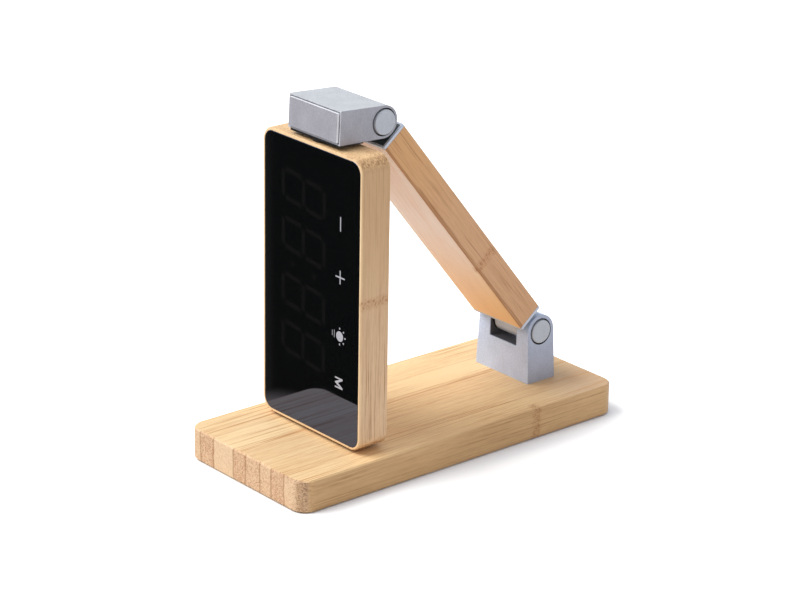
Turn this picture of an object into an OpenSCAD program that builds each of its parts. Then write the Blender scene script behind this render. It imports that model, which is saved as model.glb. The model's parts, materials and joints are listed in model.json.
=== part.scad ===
// Folding desk clock stand: a bamboo base slab, a hinged bamboo arm and an upright display panel.
// Millimetres, +Z up. The display faces -Y. The origin is on the resting plane, midway under the base.

/* [Base] */
// Width of the base slab, left to right
base_width = 75; // [70:0.5:90]
// Length of the base slab, front to back
base_length = 170; // [166:1:200]
// Thickness of the base slab
base_height = 13.6; // [13:0.2:18]
// Radius of the upright corners of the slab
base_corner_radius = 6.8; // [4:0.2:7]
// Bevel on the long edges of the slab
base_edge_bevel = 0.6; // [0.3:0.1:1]
// Bamboo left above the pocket in the underside
base_skin = 3.5; // [3:0.1:4]
// Bamboo left between the pocket and each end of the slab
pocket_end_wall = 15; // [14:0.5:18]
// Bamboo left between the pocket and each side of the slab
pocket_side_wall = 13.5; // [12.5:0.25:14.5]
// Corner radius of the pocket
pocket_corner_radius = 4; // [2:0.5:6]

/* [Base cover and feet] */
// Thickness of the plate that closes the pocket
cover_thickness = 1.5; // [1.2:0.1:2]
// Width of the ledge the plate sits on
cover_ledge = 5.5; // [5:0.1:6]
// Gap between the plate and the slab, all round
cover_gap = 0.2; // [0.1:0.05:0.3]
// Shank radius of the small screws
small_screw_radius = 1; // [0.8:0.05:1.2]
// Head radius of the small screws
small_head_radius = 2; // [1.7:0.05:2.3]
// Head height of the small screws
small_head_height = 0.9; // [0.7:0.05:1.1]
// Length of the small screws below the head
small_screw_length = 6; // [4:0.5:7]
// Radius of a foot pad
foot_radius = 3.2; // [2.8:0.1:3.5]
// How far a foot pad stands below the slab
foot_proud = 0.4; // [0.3:0.1:0.8]
// How deep a foot pad is set into the slab
foot_recess = 0.6; // [0.4:0.1:1]
// Distance from the sides and ends of the slab to the middle of a foot pad
foot_inset = 5; // [4.7:0.1:5.4]

/* [Charging parts] */
// Gap between the coil and the sides of the pocket
coil_edge_gap = 3; // [2:0.25:5]
// Inside radius of the flat coil
coil_inner_radius = 9; // [7:0.5:11]
// Thickness of the flat coil
coil_thickness = 1.6; // [1.2:0.1:2]
// Gap between the ferrite sheet and the sides of the pocket
ferrite_edge_gap = 2; // [1.25:0.25:2.75]
// Thickness of the ferrite sheet
ferrite_thickness = 0.8; // [0.6:0.1:1]
// Distance of the coil from the middle of the base, towards the front
coil_forward = 22; // [15:1:30]
// Thickness of the circuit boards
board_thickness = 1.6; // [1.4:0.1:1.8]
// Gap between the power board and the sides of the pocket
power_board_edge_gap = 5; // [3:0.25:7]
// Length of the wide part of the power board
power_board_length = 24; // [22:0.5:30]
// Height of the posts under the power board
power_post_height = 1.6; // [1.3:0.1:2]
// Radius of the posts under the power board
power_post_radius = 1.6; // [1.4:0.1:2]
// Radius of the pegs on those posts
power_peg_radius = 0.8; // [0.6:0.05:1]
// Width of the power socket
socket_width = 9; // [8.5:0.1:9.5]
// Height of the power socket
socket_height = 3.2; // [3:0.1:3.4]
// Depth of the power socket
socket_depth = 7.4; // [7:0.1:8]
// Wall of the power socket shell
socket_wall = 0.35; // [0.3:0.05:0.45]
// How far the socket mouth sits inside the rear face
socket_inset = 0.3; // [0.2:0.1:0.6]
// Gap round the power socket
socket_gap = 0.2; // [0.1:0.05:0.3]
// Bamboo left behind the notch for the socket
socket_wall_left = 4.5; // [4:0.1:5]

/* [Hinge bracket] */
// Width of the bracket at its foot
bracket_width = 33; // [31:0.2:36]
// Depth of the bracket at its foot
bracket_depth = 15.3; // [15:0.1:17]
// Distance from the rear end of the slab to the lower hinge
hinge_from_rear = 24.1; // [23.5:0.1:27]
// Height of the lower hinge above the slab
lower_hinge_rise = 22; // [21:0.2:26]
// Radius of the rounded top of the bracket
arch_radius = 7.3; // [7.1:0.05:7.5]
// Slope of the bracket's two sides, degrees from upright
side_draft = 3; // [1:0.25:4]
// Width of the slot between the ears
slot_width = 16.7; // [16.2:0.1:17.2]
// Depth of the slot below the hinge
slot_drop = 7; // [6.8:0.1:7.6]
// Radius of the bracket screws
bracket_screw_radius = 1.5; // [1.25:0.05:1.75]
// Head radius of the bracket screws
bracket_head_radius = 2.8; // [2.4:0.1:3.2]
// Head height of the bracket screws
bracket_head_height = 1.6; // [1.2:0.1:2]
// Thread length of the bracket screws inside the bracket
bracket_thread_length = 8; // [6:0.5:10]
// Distance of the bracket screws from the middle
bracket_screw_offset = 10; // [9:0.25:11]

/* [Hinges] */
// Radius of the hinge pins
pin_radius = 2.5; // [2.2:0.05:2.8]
// Running clearance round a turning pin
pin_clearance = 0.05; // [0.03:0.01:0.08]
// Radius of the knuckle barrels
barrel_radius = 5.7; // [5.4:0.05:5.75]
// Thickness of a friction washer
washer_thickness = 1; // [0.8:0.05:1.2]
// Radius of a friction washer
washer_radius = 4.8; // [4.3:0.1:5.2]
// Radius of the round pin caps
cap_radius = 5.15; // [5:0.05:5.25]
// Ring gap round a pin cap
cap_gap = 0.55; // [0.4:0.05:0.65]
// Depth of the round recess for a pin cap
cap_recess = 1.6; // [1.2:0.1:1.8]
// How far the lower caps stand out of the bracket
lower_cap_proud = 0.5; // [0.1:0.05:0.5]
// How far the upper caps stand out of the head
upper_cap_proud = 0.9; // [0.5:0.1:1.2]

/* [Arm] */
// Lean of the arm from upright, degrees
arm_lean = 39.1; // [38.4:0.1:39.3]
// Width of the arm
arm_width = 30.4; // [28:0.2:31]
// Thickness of the arm
arm_thickness = 13; // [12:0.1:13.6]
// Radius on the long edges of the arm
arm_edge_radius = 0.8; // [0.5:0.1:1.5]
// Distance from a hinge to the outer face of its end plate
plate_offset = 9; // [8.8:0.1:9.6]
// Thickness of an end plate
plate_thickness = 1.3; // [1.1:0.1:1.8]
// Thickness of the neck between plate and barrel
neck_thickness = 7; // [6:0.1:7.4]
// Distance of the knuckle screws from the middle
knuckle_screw_offset = 11; // [10.8:0.1:11.6]
// Length of the knuckle screws below the head
knuckle_screw_length = 12; // [8:0.5:16]
// Radius of the cable in the arm
cable_radius = 1.3; // [1:0.05:1.5]

/* [Head] */
// Width of the head
head_width = 32.2; // [31:0.1:34]
// Distance from the upper hinge to the front of the head
head_reach = 21.95; // [21.5:0.05:22.5]
// Height of the head at its nose, twice the radius of the nose
head_height = 13.4; // [13.2:0.1:14]
// Extra height of the head at its front
head_front_rise = 0.5; // [0:0.1:0.8]
// Tilt of the head from level, nose down, degrees
head_pitch = 2.6; // [0:0.1:3.2]
// Wall thickness of the head
head_wall = 2.2; // [2:0.1:2.6]
// Depth of the recess for the head's front plate
front_plate_recess = 1.6; // [1.4:0.1:1.9]
// How far the front plate stands out of the head
front_plate_proud = 0.8; // [0.4:0.1:0.9]
// Rim of the head round its front plate
front_plate_rim = 0.5; // [0.4:0.05:0.8]
// Seam between the front plate and the rim
front_plate_seam = 0.45; // [0.3:0.05:0.5]
// Thickness of the lip behind the seam
front_plate_lip = 0.7; // [0.5:0.1:0.9]
// Radius of the front plate's corners
front_plate_corner = 0.5; // [0.3:0.05:0.8]
// Depth of the hollow in the head behind the front plate
head_hollow_depth = 11.4; // [11.2:0.1:11.8]
// Metal roof above the barrel
barrel_roof = 0.7; // [0.6:0.05:0.8]
// Angle on the nose where the slot opens, degrees above level
slot_open_angle = 62; // [55:1:70]

/* [Display panel] */
// Width of the display panel
panel_width = 62.5; // [60:0.5:64]
// Height of the display panel
panel_height = 122; // [121.5:0.1:122.2]
// Thickness of the display panel
panel_thickness = 14.4; // [14:0.1:14.8]
// Corner radius of the panel seen from the front
panel_corner_radius = 6; // [4:0.5:7]
// Bevel on the edges of the panel
panel_edge_bevel = 0.5; // [0.3:0.1:0.8]
// Distance from the front of the head forward to the front of the panel
panel_forward = 1.2; // [0.8:0.1:1.4]
// Gap between the head and the panel at the swivel shaft
panel_gap = 2.1; // [1.7:0.1:2.4]
// Gap between the foot of the panel and the slab
panel_foot_gap = 1.24; // [1:0.02:8]
// Rim of bamboo seen round the glass
glass_rim = 1.2; // [1:0.1:1.5]
// Thickness of the glass
glass_thickness = 1.6; // [1.4:0.1:2]
// Gap round the glass
glass_gap = 0.1; // [0.05:0.05:0.15]
// Side and bottom walls of the panel
panel_wall = 3; // [2.6:0.1:3.4]
// Back wall of the panel
panel_back_wall = 3; // [2.6:0.1:3.1]
// Top wall of the panel
panel_top_wall = 4; // [3.6:0.1:4.4]

/* [Swivel] */
// Radius of the swivel shaft
shaft_radius = 2.6; // [2.4:0.05:2.8]
// Radius of the wire hole in the swivel shaft
shaft_bore_radius = 1.3; // [1:0.05:1.5]
// Radius of the flange on the swivel shaft
flange_radius = 3.8; // [3.5:0.05:3.9]
// Thickness of the flange on the swivel shaft
flange_thickness = 1.4; // [1.2:0.1:1.8]
// Radius of the collar in the gap under the head
collar_radius = 5.5; // [5:0.1:6]
// Radius of the clip that holds the shaft
clip_radius = 3.8; // [3.5:0.05:3.9]
// Thickness of the clip that holds the shaft
clip_thickness = 1; // [0.8:0.1:1.2]
// Room round the clip and the collar in their level seats
seat_room = 0.3; // [0.2:0.05:0.5]
// How far the clip sits in the groove of the shaft
clip_grip = 0.5; // [0.4:0.05:0.6]
// Length of the shaft above the clip
shaft_tip = 1; // [0.8:0.1:1.4]

/* [Electronics] */
// Height of the bosses behind the main board
boss_height = 2; // [1.8:0.1:2.4]
// Radius of the bosses behind the main board
boss_radius = 2.4; // [2.2:0.1:2.8]
// Gap between each side of the main board and the wall of the panel
board_side_gap = 3.2; // [2.8:0.1:3.8]
// Gap between the main board and the bottom wall of the panel
board_foot_gap = 1.2; // [0.8:0.1:1.6]
// Room above the main board for the wires and the shaft's flange
board_top_gap = 5; // [4.4:0.1:5.4]
// Height of one digit, which lies sideways, as a share of the panel's width
digit_height_share = 0.448; // [0.42:0.004:0.46]
// Width of one digit as a share of the digits' spacing
digit_width_share = 0.729; // [0.65:0.001:0.75]
// Width of a segment bar
segment_width = 2; // [1.6:0.1:2.3]
// Gap between neighbouring segment bars
segment_gap = 0.6; // [0.4:0.1:0.8]
// Depth of the segment bars
segment_depth = 1.2; // [1:0.1:1.6]
// Spacing of the digits within a pair as a share of the panel's height
digit_pitch_share = 0.1574; // [0.14:0.0002:0.159]
// Extra space between the pairs for the colon as a share of the digits' spacing
colon_space_share = 0.406; // [0.34:0.002:0.41]
// Radius of a colon dot
colon_radius = 1.3; // [1:0.1:1.6]
// Distance of the digits' middle line to the left of the panel's middle, as a share of its width
digit_left_share = 0.08; // [0.07:0.002:0.09]
// Height of the colon above the foot of the panel as a share of its height
digit_rise_share = 0.545; // [0.542:0.001:0.548]
// Dark border of the digit block round the digits
digit_border = 1.2; // [1:0.1:1.4]
// Width of the strip behind the touch marks as a share of the panel's width
touch_width_share = 0.176; // [0.16:0.002:0.18]
// Length of the strip behind the touch marks as a share of the panel's height
touch_length_share = 0.656; // [0.62:0.002:0.69]
// Thickness of the strip behind the touch marks
touch_strip_thickness = 0.8; // [0.6:0.1:1]
// Distance of the touch marks to the right of the panel's middle, as a share of its width
touch_right_share = 0.2912; // [0.29:0.0002:0.3]
// Height of the strip's middle above the foot of the panel as a share of its height
touch_rise_share = 0.5; // [0.49:0.002:0.51]
// Radius of the backup cell as a share of the panel's height
cell_radius_share = 0.0656; // [0.06:0.0002:0.067]
// Distance from the board's screws inwards to the middle of the cell
cell_from_screws = 9.65; // [9.4:0.05:10.4]
// Thickness of the backup cell
cell_thickness = 2.6; // [2:0.1:3]
// Wall of the cell holder
cell_holder_wall = 0.8; // [0.6:0.1:1]
// Floor of the cell holder
cell_holder_floor = 0.8; // [0.6:0.1:1]
// Gap round the cell
cell_gap = 0.15; // [0.1:0.05:0.2]
// Radius of the buzzer
buzzer_radius = 5; // [4.5:0.1:5.5]
// Height of the buzzer
buzzer_height = 3.6; // [3:0.1:4.2]
// Radius of the sound hole in the buzzer
buzzer_hole_radius = 0.9; // [0.7:0.1:1.2]
// Height of the cell and buzzer above the foot of the panel as a share of its height
low_parts_share = 0.1115; // [0.11:0.0005:0.115]

/* [Hidden] */
// Facet count of round shapes
$fn = 96;
// Overrun that lets a cut pass cleanly through a face
overrun = 0.5;
// Room kept behind the clip in its groove
groove_room = 0.02;
base_top = foot_proud + base_height;
pocket_length = base_length - 2 * pocket_end_wall;
pocket_width = base_width - 2 * pocket_side_wall;
base_mid_height = foot_proud + base_height / 2;
pocket_ceiling = base_top - base_skin;
cover_top = foot_proud + cover_thickness;
cover_width = pocket_width + 2 * cover_ledge;
cover_length = pocket_length + 2 * cover_ledge;
cover_screw_x = pocket_width / 2 + cover_ledge / 2;
cover_screw_y = pocket_length / 2 - cover_ledge;
foot_x = base_width / 2 - foot_inset;
foot_y = base_length / 2 - foot_inset;
socket_back = base_length / 2 - socket_inset;
notch_back = base_length / 2 - socket_wall_left;
notch_width = socket_width + 4 * power_post_radius;
power_board_width = pocket_width - 2 * power_board_edge_gap;
power_board_bottom = cover_top + power_post_height;
power_board_top = power_board_bottom + board_thickness;
power_board_back = pocket_length / 2 - 2 * overrun;
power_board_tongue_back = notch_back - overrun;
power_post_x = power_board_width / 2 - 2 * power_post_radius;
power_post_y = power_board_length / 2 - 2 * power_post_radius;
power_board_mid_y = power_board_back - power_board_length / 2;
coil_y = -coil_forward;
coil_radius = pocket_width / 2 - coil_edge_gap;
ferrite_side = pocket_width - 2 * ferrite_edge_gap;
lower_hinge_back = base_length / 2 - hinge_from_rear;
lower_hinge_z = base_top + lower_hinge_rise;
panel_bottom = base_top + panel_foot_gap;
panel_top = panel_bottom + panel_height;
head_under = panel_top + panel_gap;
nose_radius = head_height / 2;
shaft_forward = head_reach + panel_forward - panel_thickness / 2;
upper_hinge_z = head_under + nose_radius / cos(head_pitch) - shaft_forward * tan(head_pitch);
hinge_distance = (upper_hinge_z - lower_hinge_z) / cos(arm_lean);
upper_hinge_y = lower_hinge_back - hinge_distance * sin(arm_lean);
slot_floor = lower_hinge_z - slot_drop;
barrel_width = slot_width - 2 * washer_thickness;
bracket_half_at_hinge = bracket_width / 2 - lower_hinge_rise * tan(side_draft);
lower_cap_floor = bracket_half_at_hinge - cap_recess;
upper_cap_floor = head_width / 2 - cap_recess;
plate_inner = plate_offset + plate_thickness;
bar_length = hinge_distance - 2 * plate_inner;
head_front = upper_hinge_y - head_reach;
head_slot_radius = nose_radius - barrel_roof;
panel_front = head_front - panel_forward;
panel_back = panel_front + panel_thickness;
panel_mid_y = panel_front + panel_thickness / 2;
panel_mid_z = panel_bottom + panel_height / 2;
glass_back = panel_front + glass_thickness;
cavity_back = panel_back - panel_back_wall;
cavity_bottom = panel_bottom + panel_wall;
cavity_top = panel_top - panel_top_wall;
cavity_height = cavity_top - cavity_bottom;
cavity_width = panel_width - 2 * panel_wall;
cavity_corner = panel_corner_radius - panel_wall / 2;
glass_width = panel_width - 2 * glass_rim;
glass_height = panel_height - 2 * glass_rim;
glass_corner = panel_corner_radius - glass_rim;
main_board_back = cavity_back - boss_height;
main_board_front = main_board_back - board_thickness;
main_board_bottom = cavity_bottom + board_foot_gap;
main_board_width = cavity_width - 2 * board_side_gap;
main_board_height = cavity_height - board_foot_gap - board_top_gap;
main_board_mid_z = main_board_bottom + main_board_height / 2;
board_screw_x = main_board_width / 2 - boss_radius;
board_screw_z = main_board_height / 2 - boss_radius;
digit_height = panel_width * digit_height_share;
digit_pitch = panel_height * digit_pitch_share;
digit_width = digit_pitch * digit_width_share;
colon_space = digit_pitch * colon_space_share;
digit_left = panel_width * digit_left_share;
digit_block_depth = main_board_front - glass_back;
digit_mid_z = panel_bottom + panel_height * digit_rise_share;
digit_group_height = 3 * digit_pitch + colon_space + digit_width;
digit_block_width = digit_height + 2 * digit_border;
digit_block_height = digit_group_height + 2 * digit_border;
bar_run = digit_width - segment_width - 2 * segment_gap;
side_run = digit_height / 2 - 3 * segment_width / 2 - 2 * segment_gap;
digit_half_shares = [-1.5, -0.5, 0.5, 1.5];
touch_strip_width = panel_width * touch_width_share;
touch_strip_length = panel_height * touch_length_share;
touch_right = panel_width * touch_right_share;
touch_mid_z = panel_bottom + panel_height * touch_rise_share;
cell_radius = panel_height * cell_radius_share;
cell_x = cell_from_screws - board_screw_x;
low_parts_z = panel_bottom + panel_height * low_parts_share;
buzzer_x = digit_left + buzzer_radius;
collar_top = head_under + (collar_radius + seat_room) * tan(head_pitch);
clip_bottom = head_under + head_wall / cos(head_pitch) - (clip_radius + seat_room) * tan(head_pitch);
clip_top = clip_bottom + clip_thickness;
front_plate_width = head_width - 2 * front_plate_rim;
front_plate_height = head_height + head_front_rise - 2 * front_plate_rim;

// Rectangle with rounded corners, centred
module rounded_rectangle(across, along, radius) {
    square([across - 2 * radius, along], center = true);
    square([across, along - 2 * radius], center = true);
    for (side = [-1, 1], end = [-1, 1]) {
        translate([side * (across / 2 - radius), end * (along / 2 - radius)])
            circle(r = radius);
    }
}

// Plain block with rounded upright corners, standing on its lowest face
module rounded_block(across, along, tall, radius) {
    linear_extrude(height = tall)
        rounded_rectangle(across, along, radius);
}

// Half outline of a slab corner: a bar with its two outer edges bevelled
module corner_profile(radius, tall, bevel) {
    polygon([[0, 0], [radius - bevel, 0], [radius, bevel], [radius, tall - bevel],
        [radius - bevel, tall], [0, tall]]);
}

// Bevelled bar outline, centred across
module bar_profile(across, tall, bevel) {
    polygon([[-across / 2 + bevel, 0], [across / 2 - bevel, 0], [across / 2, bevel],
        [across / 2, tall - bevel], [across / 2 - bevel, tall], [-across / 2 + bevel, tall],
        [-across / 2, tall - bevel], [-across / 2, bevel]]);
}

// Slab with rounded upright corners and bevelled upper and lower edges
module bevelled_slab(across, along, tall, radius, bevel) {
    translate([0, along / 2 - radius, 0])
        rotate([90, 0, 0])
            linear_extrude(height = along - 2 * radius)
                bar_profile(across, tall, bevel);
    translate([radius - across / 2, 0, 0])
        rotate([90, 0, 90])
            linear_extrude(height = across - 2 * radius)
                bar_profile(along, tall, bevel);
    for (side = [-1, 1], end = [-1, 1]) {
        translate([side * (across / 2 - radius), end * (along / 2 - radius), 0])
            rotate_extrude()
                corner_profile(radius, tall, bevel);
    }
}

// Rod along X, centred
module cross_rod(radius, long) {
    rotate([0, 90, 0])
        cylinder(r = radius, h = long, center = true);
}

// Round disc along X, from one place to another on the chosen side
module side_disc(radius, from, to, side) {
    translate([side * (from + to) / 2, 0, 0])
        cross_rod(radius, abs(to - from));
}

// Rod along Y, from one place back to another
module depth_rod(radius, from, to) {
    translate([0, from, 0])
        rotate([-90, 0, 0])
            cylinder(r = radius, h = to - from);
}

// Frame of the arm: the lower hinge at its origin, the upper hinge straight up its Z
module in_arm_frame() {
    translate([0, lower_hinge_back, lower_hinge_z])
        rotate([arm_lean, 0, 0])
            children();
}

module at_lower_hinge() {
    translate([0, lower_hinge_back, lower_hinge_z])
        children();
}

module at_upper_hinge() {
    translate([0, upper_hinge_y, upper_hinge_z])
        children();
}

// Places children in the head's own tilted frame, at the upper hinge
module at_head() {
    at_upper_hinge()
        rotate([-head_pitch, 0, 0])
            children();
}

// Slab with its pocket, cover ledge, foot recesses, socket notch and screw holes
module base_slab() {
    color("BurlyWood")
    difference() {
        translate([0, 0, foot_proud])
            bevelled_slab(base_width, base_length, base_height, base_corner_radius, base_edge_bevel);
        translate([0, 0, foot_proud - overrun])
            rounded_block(pocket_width, pocket_length, base_height - base_skin + overrun, pocket_corner_radius);
        translate([0, 0, foot_proud - overrun])
            rounded_block(cover_width, cover_length, cover_thickness + overrun,
                pocket_corner_radius + cover_ledge / 2);
        translate([-notch_width / 2, 0, cover_top - overrun])
            cube([notch_width, notch_back, power_board_top + socket_height + 2 * socket_gap - cover_top + overrun]);
        socket_hole();
        for (side = [-1, 1], end = [-1, 1]) {
            translate([side * foot_x, end * foot_y, foot_proud - overrun])
                cylinder(r = foot_radius, h = foot_recess + overrun);
        }
        for (side = [-1, 1], step = [-1, 0, 1]) {
            translate([side * cover_screw_x, step * cover_screw_y, foot_proud])
                cylinder(r = small_screw_radius, h = small_screw_length);
        }
        for (side = [-1, 1]) {
            translate([side * bracket_screw_offset, lower_hinge_back, 0])
                cylinder(r = bracket_screw_radius, h = base_top + overrun);
        }
        translate([0, lower_hinge_back, 0])
            cylinder(r = cable_radius, h = base_top + overrun);
    }
}

// Opening in the rear wall that lets the plug reach the socket
module socket_hole() {
    translate([0, notch_back - overrun, power_board_top + socket_height / 2])
        rotate([-90, 0, 0])
            rounded_block(socket_width + 2 * socket_gap, socket_height + 2 * socket_gap,
                socket_wall_left + 2 * overrun, socket_height / 2);
}

// Plate that closes the pocket, with posts and pegs for the power board
module base_cover() {
    color("DimGray")
    difference() {
        union() {
            translate([0, 0, foot_proud])
                rounded_block(cover_width - 2 * cover_gap, cover_length - 2 * cover_gap, cover_thickness,
                    pocket_corner_radius + cover_ledge / 2 - cover_gap);
            for (side = [-1, 1], end = [-1, 1]) {
                translate([side * power_post_x, power_board_mid_y + end * power_post_y, foot_proud]) {
                    cylinder(r = power_post_radius, h = cover_thickness + power_post_height);
                    cylinder(r = power_peg_radius, h = power_board_top - foot_proud);
                }
            }
        }
        for (side = [-1, 1], step = [-1, 0, 1]) {
            translate([side * cover_screw_x, step * cover_screw_y, foot_proud - overrun]) {
                cylinder(r = small_screw_radius + cover_gap / 2, h = cover_thickness + 2 * overrun);
                cylinder(r = small_head_radius + cover_gap / 2, h = small_head_height + overrun);
            }
        }
    }
}

// Small screw with a flat head, pointing up its Z from the top of the head's outer face
module small_screw(long) {
    cylinder(r = small_head_radius, h = small_head_height);
    cylinder(r = small_screw_radius, h = long);
}

module cover_screws() {
    color("Silver")
    for (side = [-1, 1], step = [-1, 0, 1]) {
        translate([side * cover_screw_x, step * cover_screw_y, foot_proud])
            small_screw(small_screw_length);
    }
}

module rubber_feet() {
    color("DarkSlateGray")
    for (side = [-1, 1], end = [-1, 1]) {
        translate([side * foot_x, end * foot_y, 0])
            cylinder(r = foot_radius, h = foot_proud + foot_recess);
    }
}

// Flat wound ring against the ceiling of the pocket
module charging_coil() {
    color("Peru")
    translate([0, coil_y, pocket_ceiling - coil_thickness])
        difference() {
            cylinder(r = coil_radius, h = coil_thickness);
            translate([0, 0, -overrun])
                cylinder(r = coil_inner_radius, h = coil_thickness + 2 * overrun);
        }
}

// Square sheet against the coil's lower face
module ferrite_shield() {
    color("SlateGray")
    translate([0, coil_y, pocket_ceiling - coil_thickness - ferrite_thickness])
        rounded_block(ferrite_side, ferrite_side, ferrite_thickness, pocket_corner_radius);
}

// Board on its posts, with a tongue under the socket
module power_board() {
    color("ForestGreen")
    difference() {
        union() {
            translate([-power_board_width / 2, power_board_back - power_board_length, power_board_bottom])
                cube([power_board_width, power_board_length, board_thickness]);
            translate([-socket_width / 2, power_board_back - power_board_length, power_board_bottom])
                cube([socket_width, power_board_tongue_back - power_board_back + power_board_length,
                    board_thickness]);
        }
        for (side = [-1, 1], end = [-1, 1]) {
            translate([side * power_post_x, power_board_mid_y + end * power_post_y, 0])
                cylinder(r = power_peg_radius, h = power_board_top + overrun);
        }
    }
}

// Flat-sided metal shell with a thin tongue inside, open to the rear
module power_socket() {
    color("Gainsboro")
    translate([0, socket_back - socket_depth, power_board_top + socket_height / 2])
        rotate([-90, 0, 0]) {
            difference() {
                rounded_block(socket_width, socket_height, socket_depth, socket_height / 2 - socket_wall / 2);
                translate([0, 0, 2 * socket_wall])
                    rounded_block(socket_width - 2 * socket_wall, socket_height - 2 * socket_wall, socket_depth,
                        socket_height / 2 - 3 * socket_wall / 2);
            }
            linear_extrude(height = socket_depth - 2 * socket_wall)
                square([socket_width - 8 * socket_wall, 2 * socket_wall], center = true);
        }
}

// Side outline of the bracket: a foot that narrows up to a round top
module bracket_outline() {
    circle(r = arch_radius);
    polygon([[-bracket_depth / 2, -lower_hinge_rise], [bracket_depth / 2, -lower_hinge_rise],
        [arch_radius, 0], [-arch_radius, 0]]);
}

module bracket_block() {
    rotate([90, 0, 90])
        linear_extrude(height = bracket_width, center = true)
            bracket_outline();
}

// Wedge taken off each side so that the bracket narrows upwards
module draft_cut(side) {
    translate([side * bracket_width / 2, 0, -lower_hinge_rise])
        rotate([0, -side * side_draft, 0])
            translate([side * bracket_width / 2, 0, lower_hinge_rise])
                cube([bracket_width, 2 * bracket_depth, 4 * lower_hinge_rise], center = true);
}

// Cast bracket: two ears, a slot, recesses for the caps and holes for pin, screws and wires
module hinge_bracket() {
    color("Silver")
    at_lower_hinge()
        difference() {
            bracket_block();
            for (side = [-1, 1]) {
                draft_cut(side);
                side_disc(cap_radius + cap_gap, lower_cap_floor, bracket_width, side);
                translate([side * bracket_screw_offset, 0, -lower_hinge_rise - overrun])
                    cylinder(r = bracket_screw_radius, h = bracket_thread_length + overrun);
            }
            translate([-slot_width / 2, -bracket_depth, -slot_drop])
                cube([slot_width, 2 * bracket_depth, 2 * lower_hinge_rise]);
            cross_rod(pin_radius, 2 * bracket_width);
            translate([0, 0, -lower_hinge_rise - overrun])
                cylinder(r = cable_radius, h = lower_hinge_rise);
        }
}

module bracket_screws() {
    color("DimGray")
    for (side = [-1, 1]) {
        translate([side * bracket_screw_offset, lower_hinge_back, pocket_ceiling - bracket_head_height]) {
            cylinder(r = bracket_head_radius, h = bracket_head_height);
            cylinder(r = bracket_screw_radius,
                h = bracket_head_height + base_skin + bracket_thread_length);
        }
    }
}

module lower_hinge_pin() {
    color("LightSlateGray")
    at_lower_hinge()
        cross_rod(pin_radius, 2 * lower_cap_floor);
}

module lower_pin_caps() {
    color("Silver")
    at_lower_hinge()
        for (side = [-1, 1]) {
            side_disc(cap_radius, lower_cap_floor, bracket_half_at_hinge + lower_cap_proud, side);
        }
}

// Bamboo bar with a wire channel and screw holes in both ends
module arm_bar() {
    color("BurlyWood")
    in_arm_frame()
        difference() {
            translate([0, 0, plate_inner])
                rounded_block(arm_width, arm_thickness, bar_length, arm_edge_radius);
            cylinder(r = cable_radius, h = hinge_distance);
            for (side = [-1, 1]) {
                translate([side * knuckle_screw_offset, 0, 0])
                    cylinder(r = small_screw_radius, h = plate_offset + knuckle_screw_length);
                translate([side * knuckle_screw_offset, 0, hinge_distance - plate_offset - knuckle_screw_length])
                    cylinder(r = small_screw_radius, h = plate_offset + knuckle_screw_length);
            }
        }
}

// Barrel, neck and end plate in one casting. The hinge is at the origin and the plate is up its Z.
module knuckle() {
    difference() {
        union() {
            cross_rod(barrel_radius, barrel_width);
            translate([-barrel_width / 2, -neck_thickness / 2, 0])
                cube([barrel_width, neck_thickness, plate_inner]);
            translate([0, 0, plate_offset])
                rounded_block(arm_width, arm_thickness, plate_thickness, arm_edge_radius);
        }
        cross_rod(pin_radius + pin_clearance, 2 * barrel_width);
        translate([0, 0, (barrel_radius + plate_offset) / 2])
            cylinder(r = cable_radius, h = plate_inner);
        translate([0, 0, (barrel_radius + plate_offset) / 2])
            rotate([90, 0, 0])
                cylinder(r = cable_radius, h = neck_thickness);
        for (side = [-1, 1]) {
            translate([side * knuckle_screw_offset, 0, plate_offset - overrun]) {
                cylinder(r = small_screw_radius, h = plate_thickness + 2 * overrun);
                cylinder(r = small_head_radius, h = small_head_height + overrun);
            }
        }
    }
}

module lower_knuckle() {
    color("Silver")
    in_arm_frame()
        knuckle();
}

module upper_knuckle() {
    color("Silver")
    in_arm_frame()
        translate([0, 0, hinge_distance])
            mirror([0, 0, 1])
                knuckle();
}

module knuckle_screws() {
    color("DimGray")
    in_arm_frame()
        for (side = [-1, 1]) {
            translate([side * knuckle_screw_offset, 0, plate_offset])
                small_screw(knuckle_screw_length);
            translate([side * knuckle_screw_offset, 0, hinge_distance - plate_offset])
                mirror([0, 0, 1])
                    small_screw(knuckle_screw_length);
        }
}

// Two thin rings beside a barrel
module washer_pair() {
    difference() {
        for (side = [-1, 1]) {
            side_disc(washer_radius, barrel_width / 2, slot_width / 2, side);
        }
        cross_rod(pin_radius + pin_clearance, 2 * slot_width);
    }
}

module lower_washers() {
    color("DarkSlateGray")
    at_lower_hinge()
        washer_pair();
}

module upper_washers() {
    color("DarkSlateGray")
    at_upper_hinge()
        washer_pair();
}

// Straight run of cable in the channel of the bar
module arm_cable() {
    color("Black")
    in_arm_frame()
        translate([0, 0, plate_offset])
            cylinder(r = cable_radius, h = hinge_distance - 2 * plate_offset);
}

// Side outline of the head: a box with a round nose
module head_outline() {
    circle(r = nose_radius);
    polygon([[0, nose_radius], [-head_reach, nose_radius + head_front_rise],
        [-head_reach, -nose_radius], [0, -nose_radius]]);
}

// Side outline of the slot: round over the barrel, open below and behind up to the slot angle
module slot_outline() {
    circle(r = head_slot_radius);
    translate([-head_slot_radius, -2 * nose_radius])
        square([head_slot_radius + 2 * nose_radius, 2 * nose_radius]);
    polygon([[0, 0], [2 * nose_radius, 0], [2 * nose_radius, nose_radius],
        [2 * nose_radius * cos(slot_open_angle), 2 * nose_radius * sin(slot_open_angle)]]);
}

// Slot in the head's nose for the barrel
module head_slot() {
    rotate([90, 0, 90])
        linear_extrude(height = slot_width, center = true)
            slot_outline();
}

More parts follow.
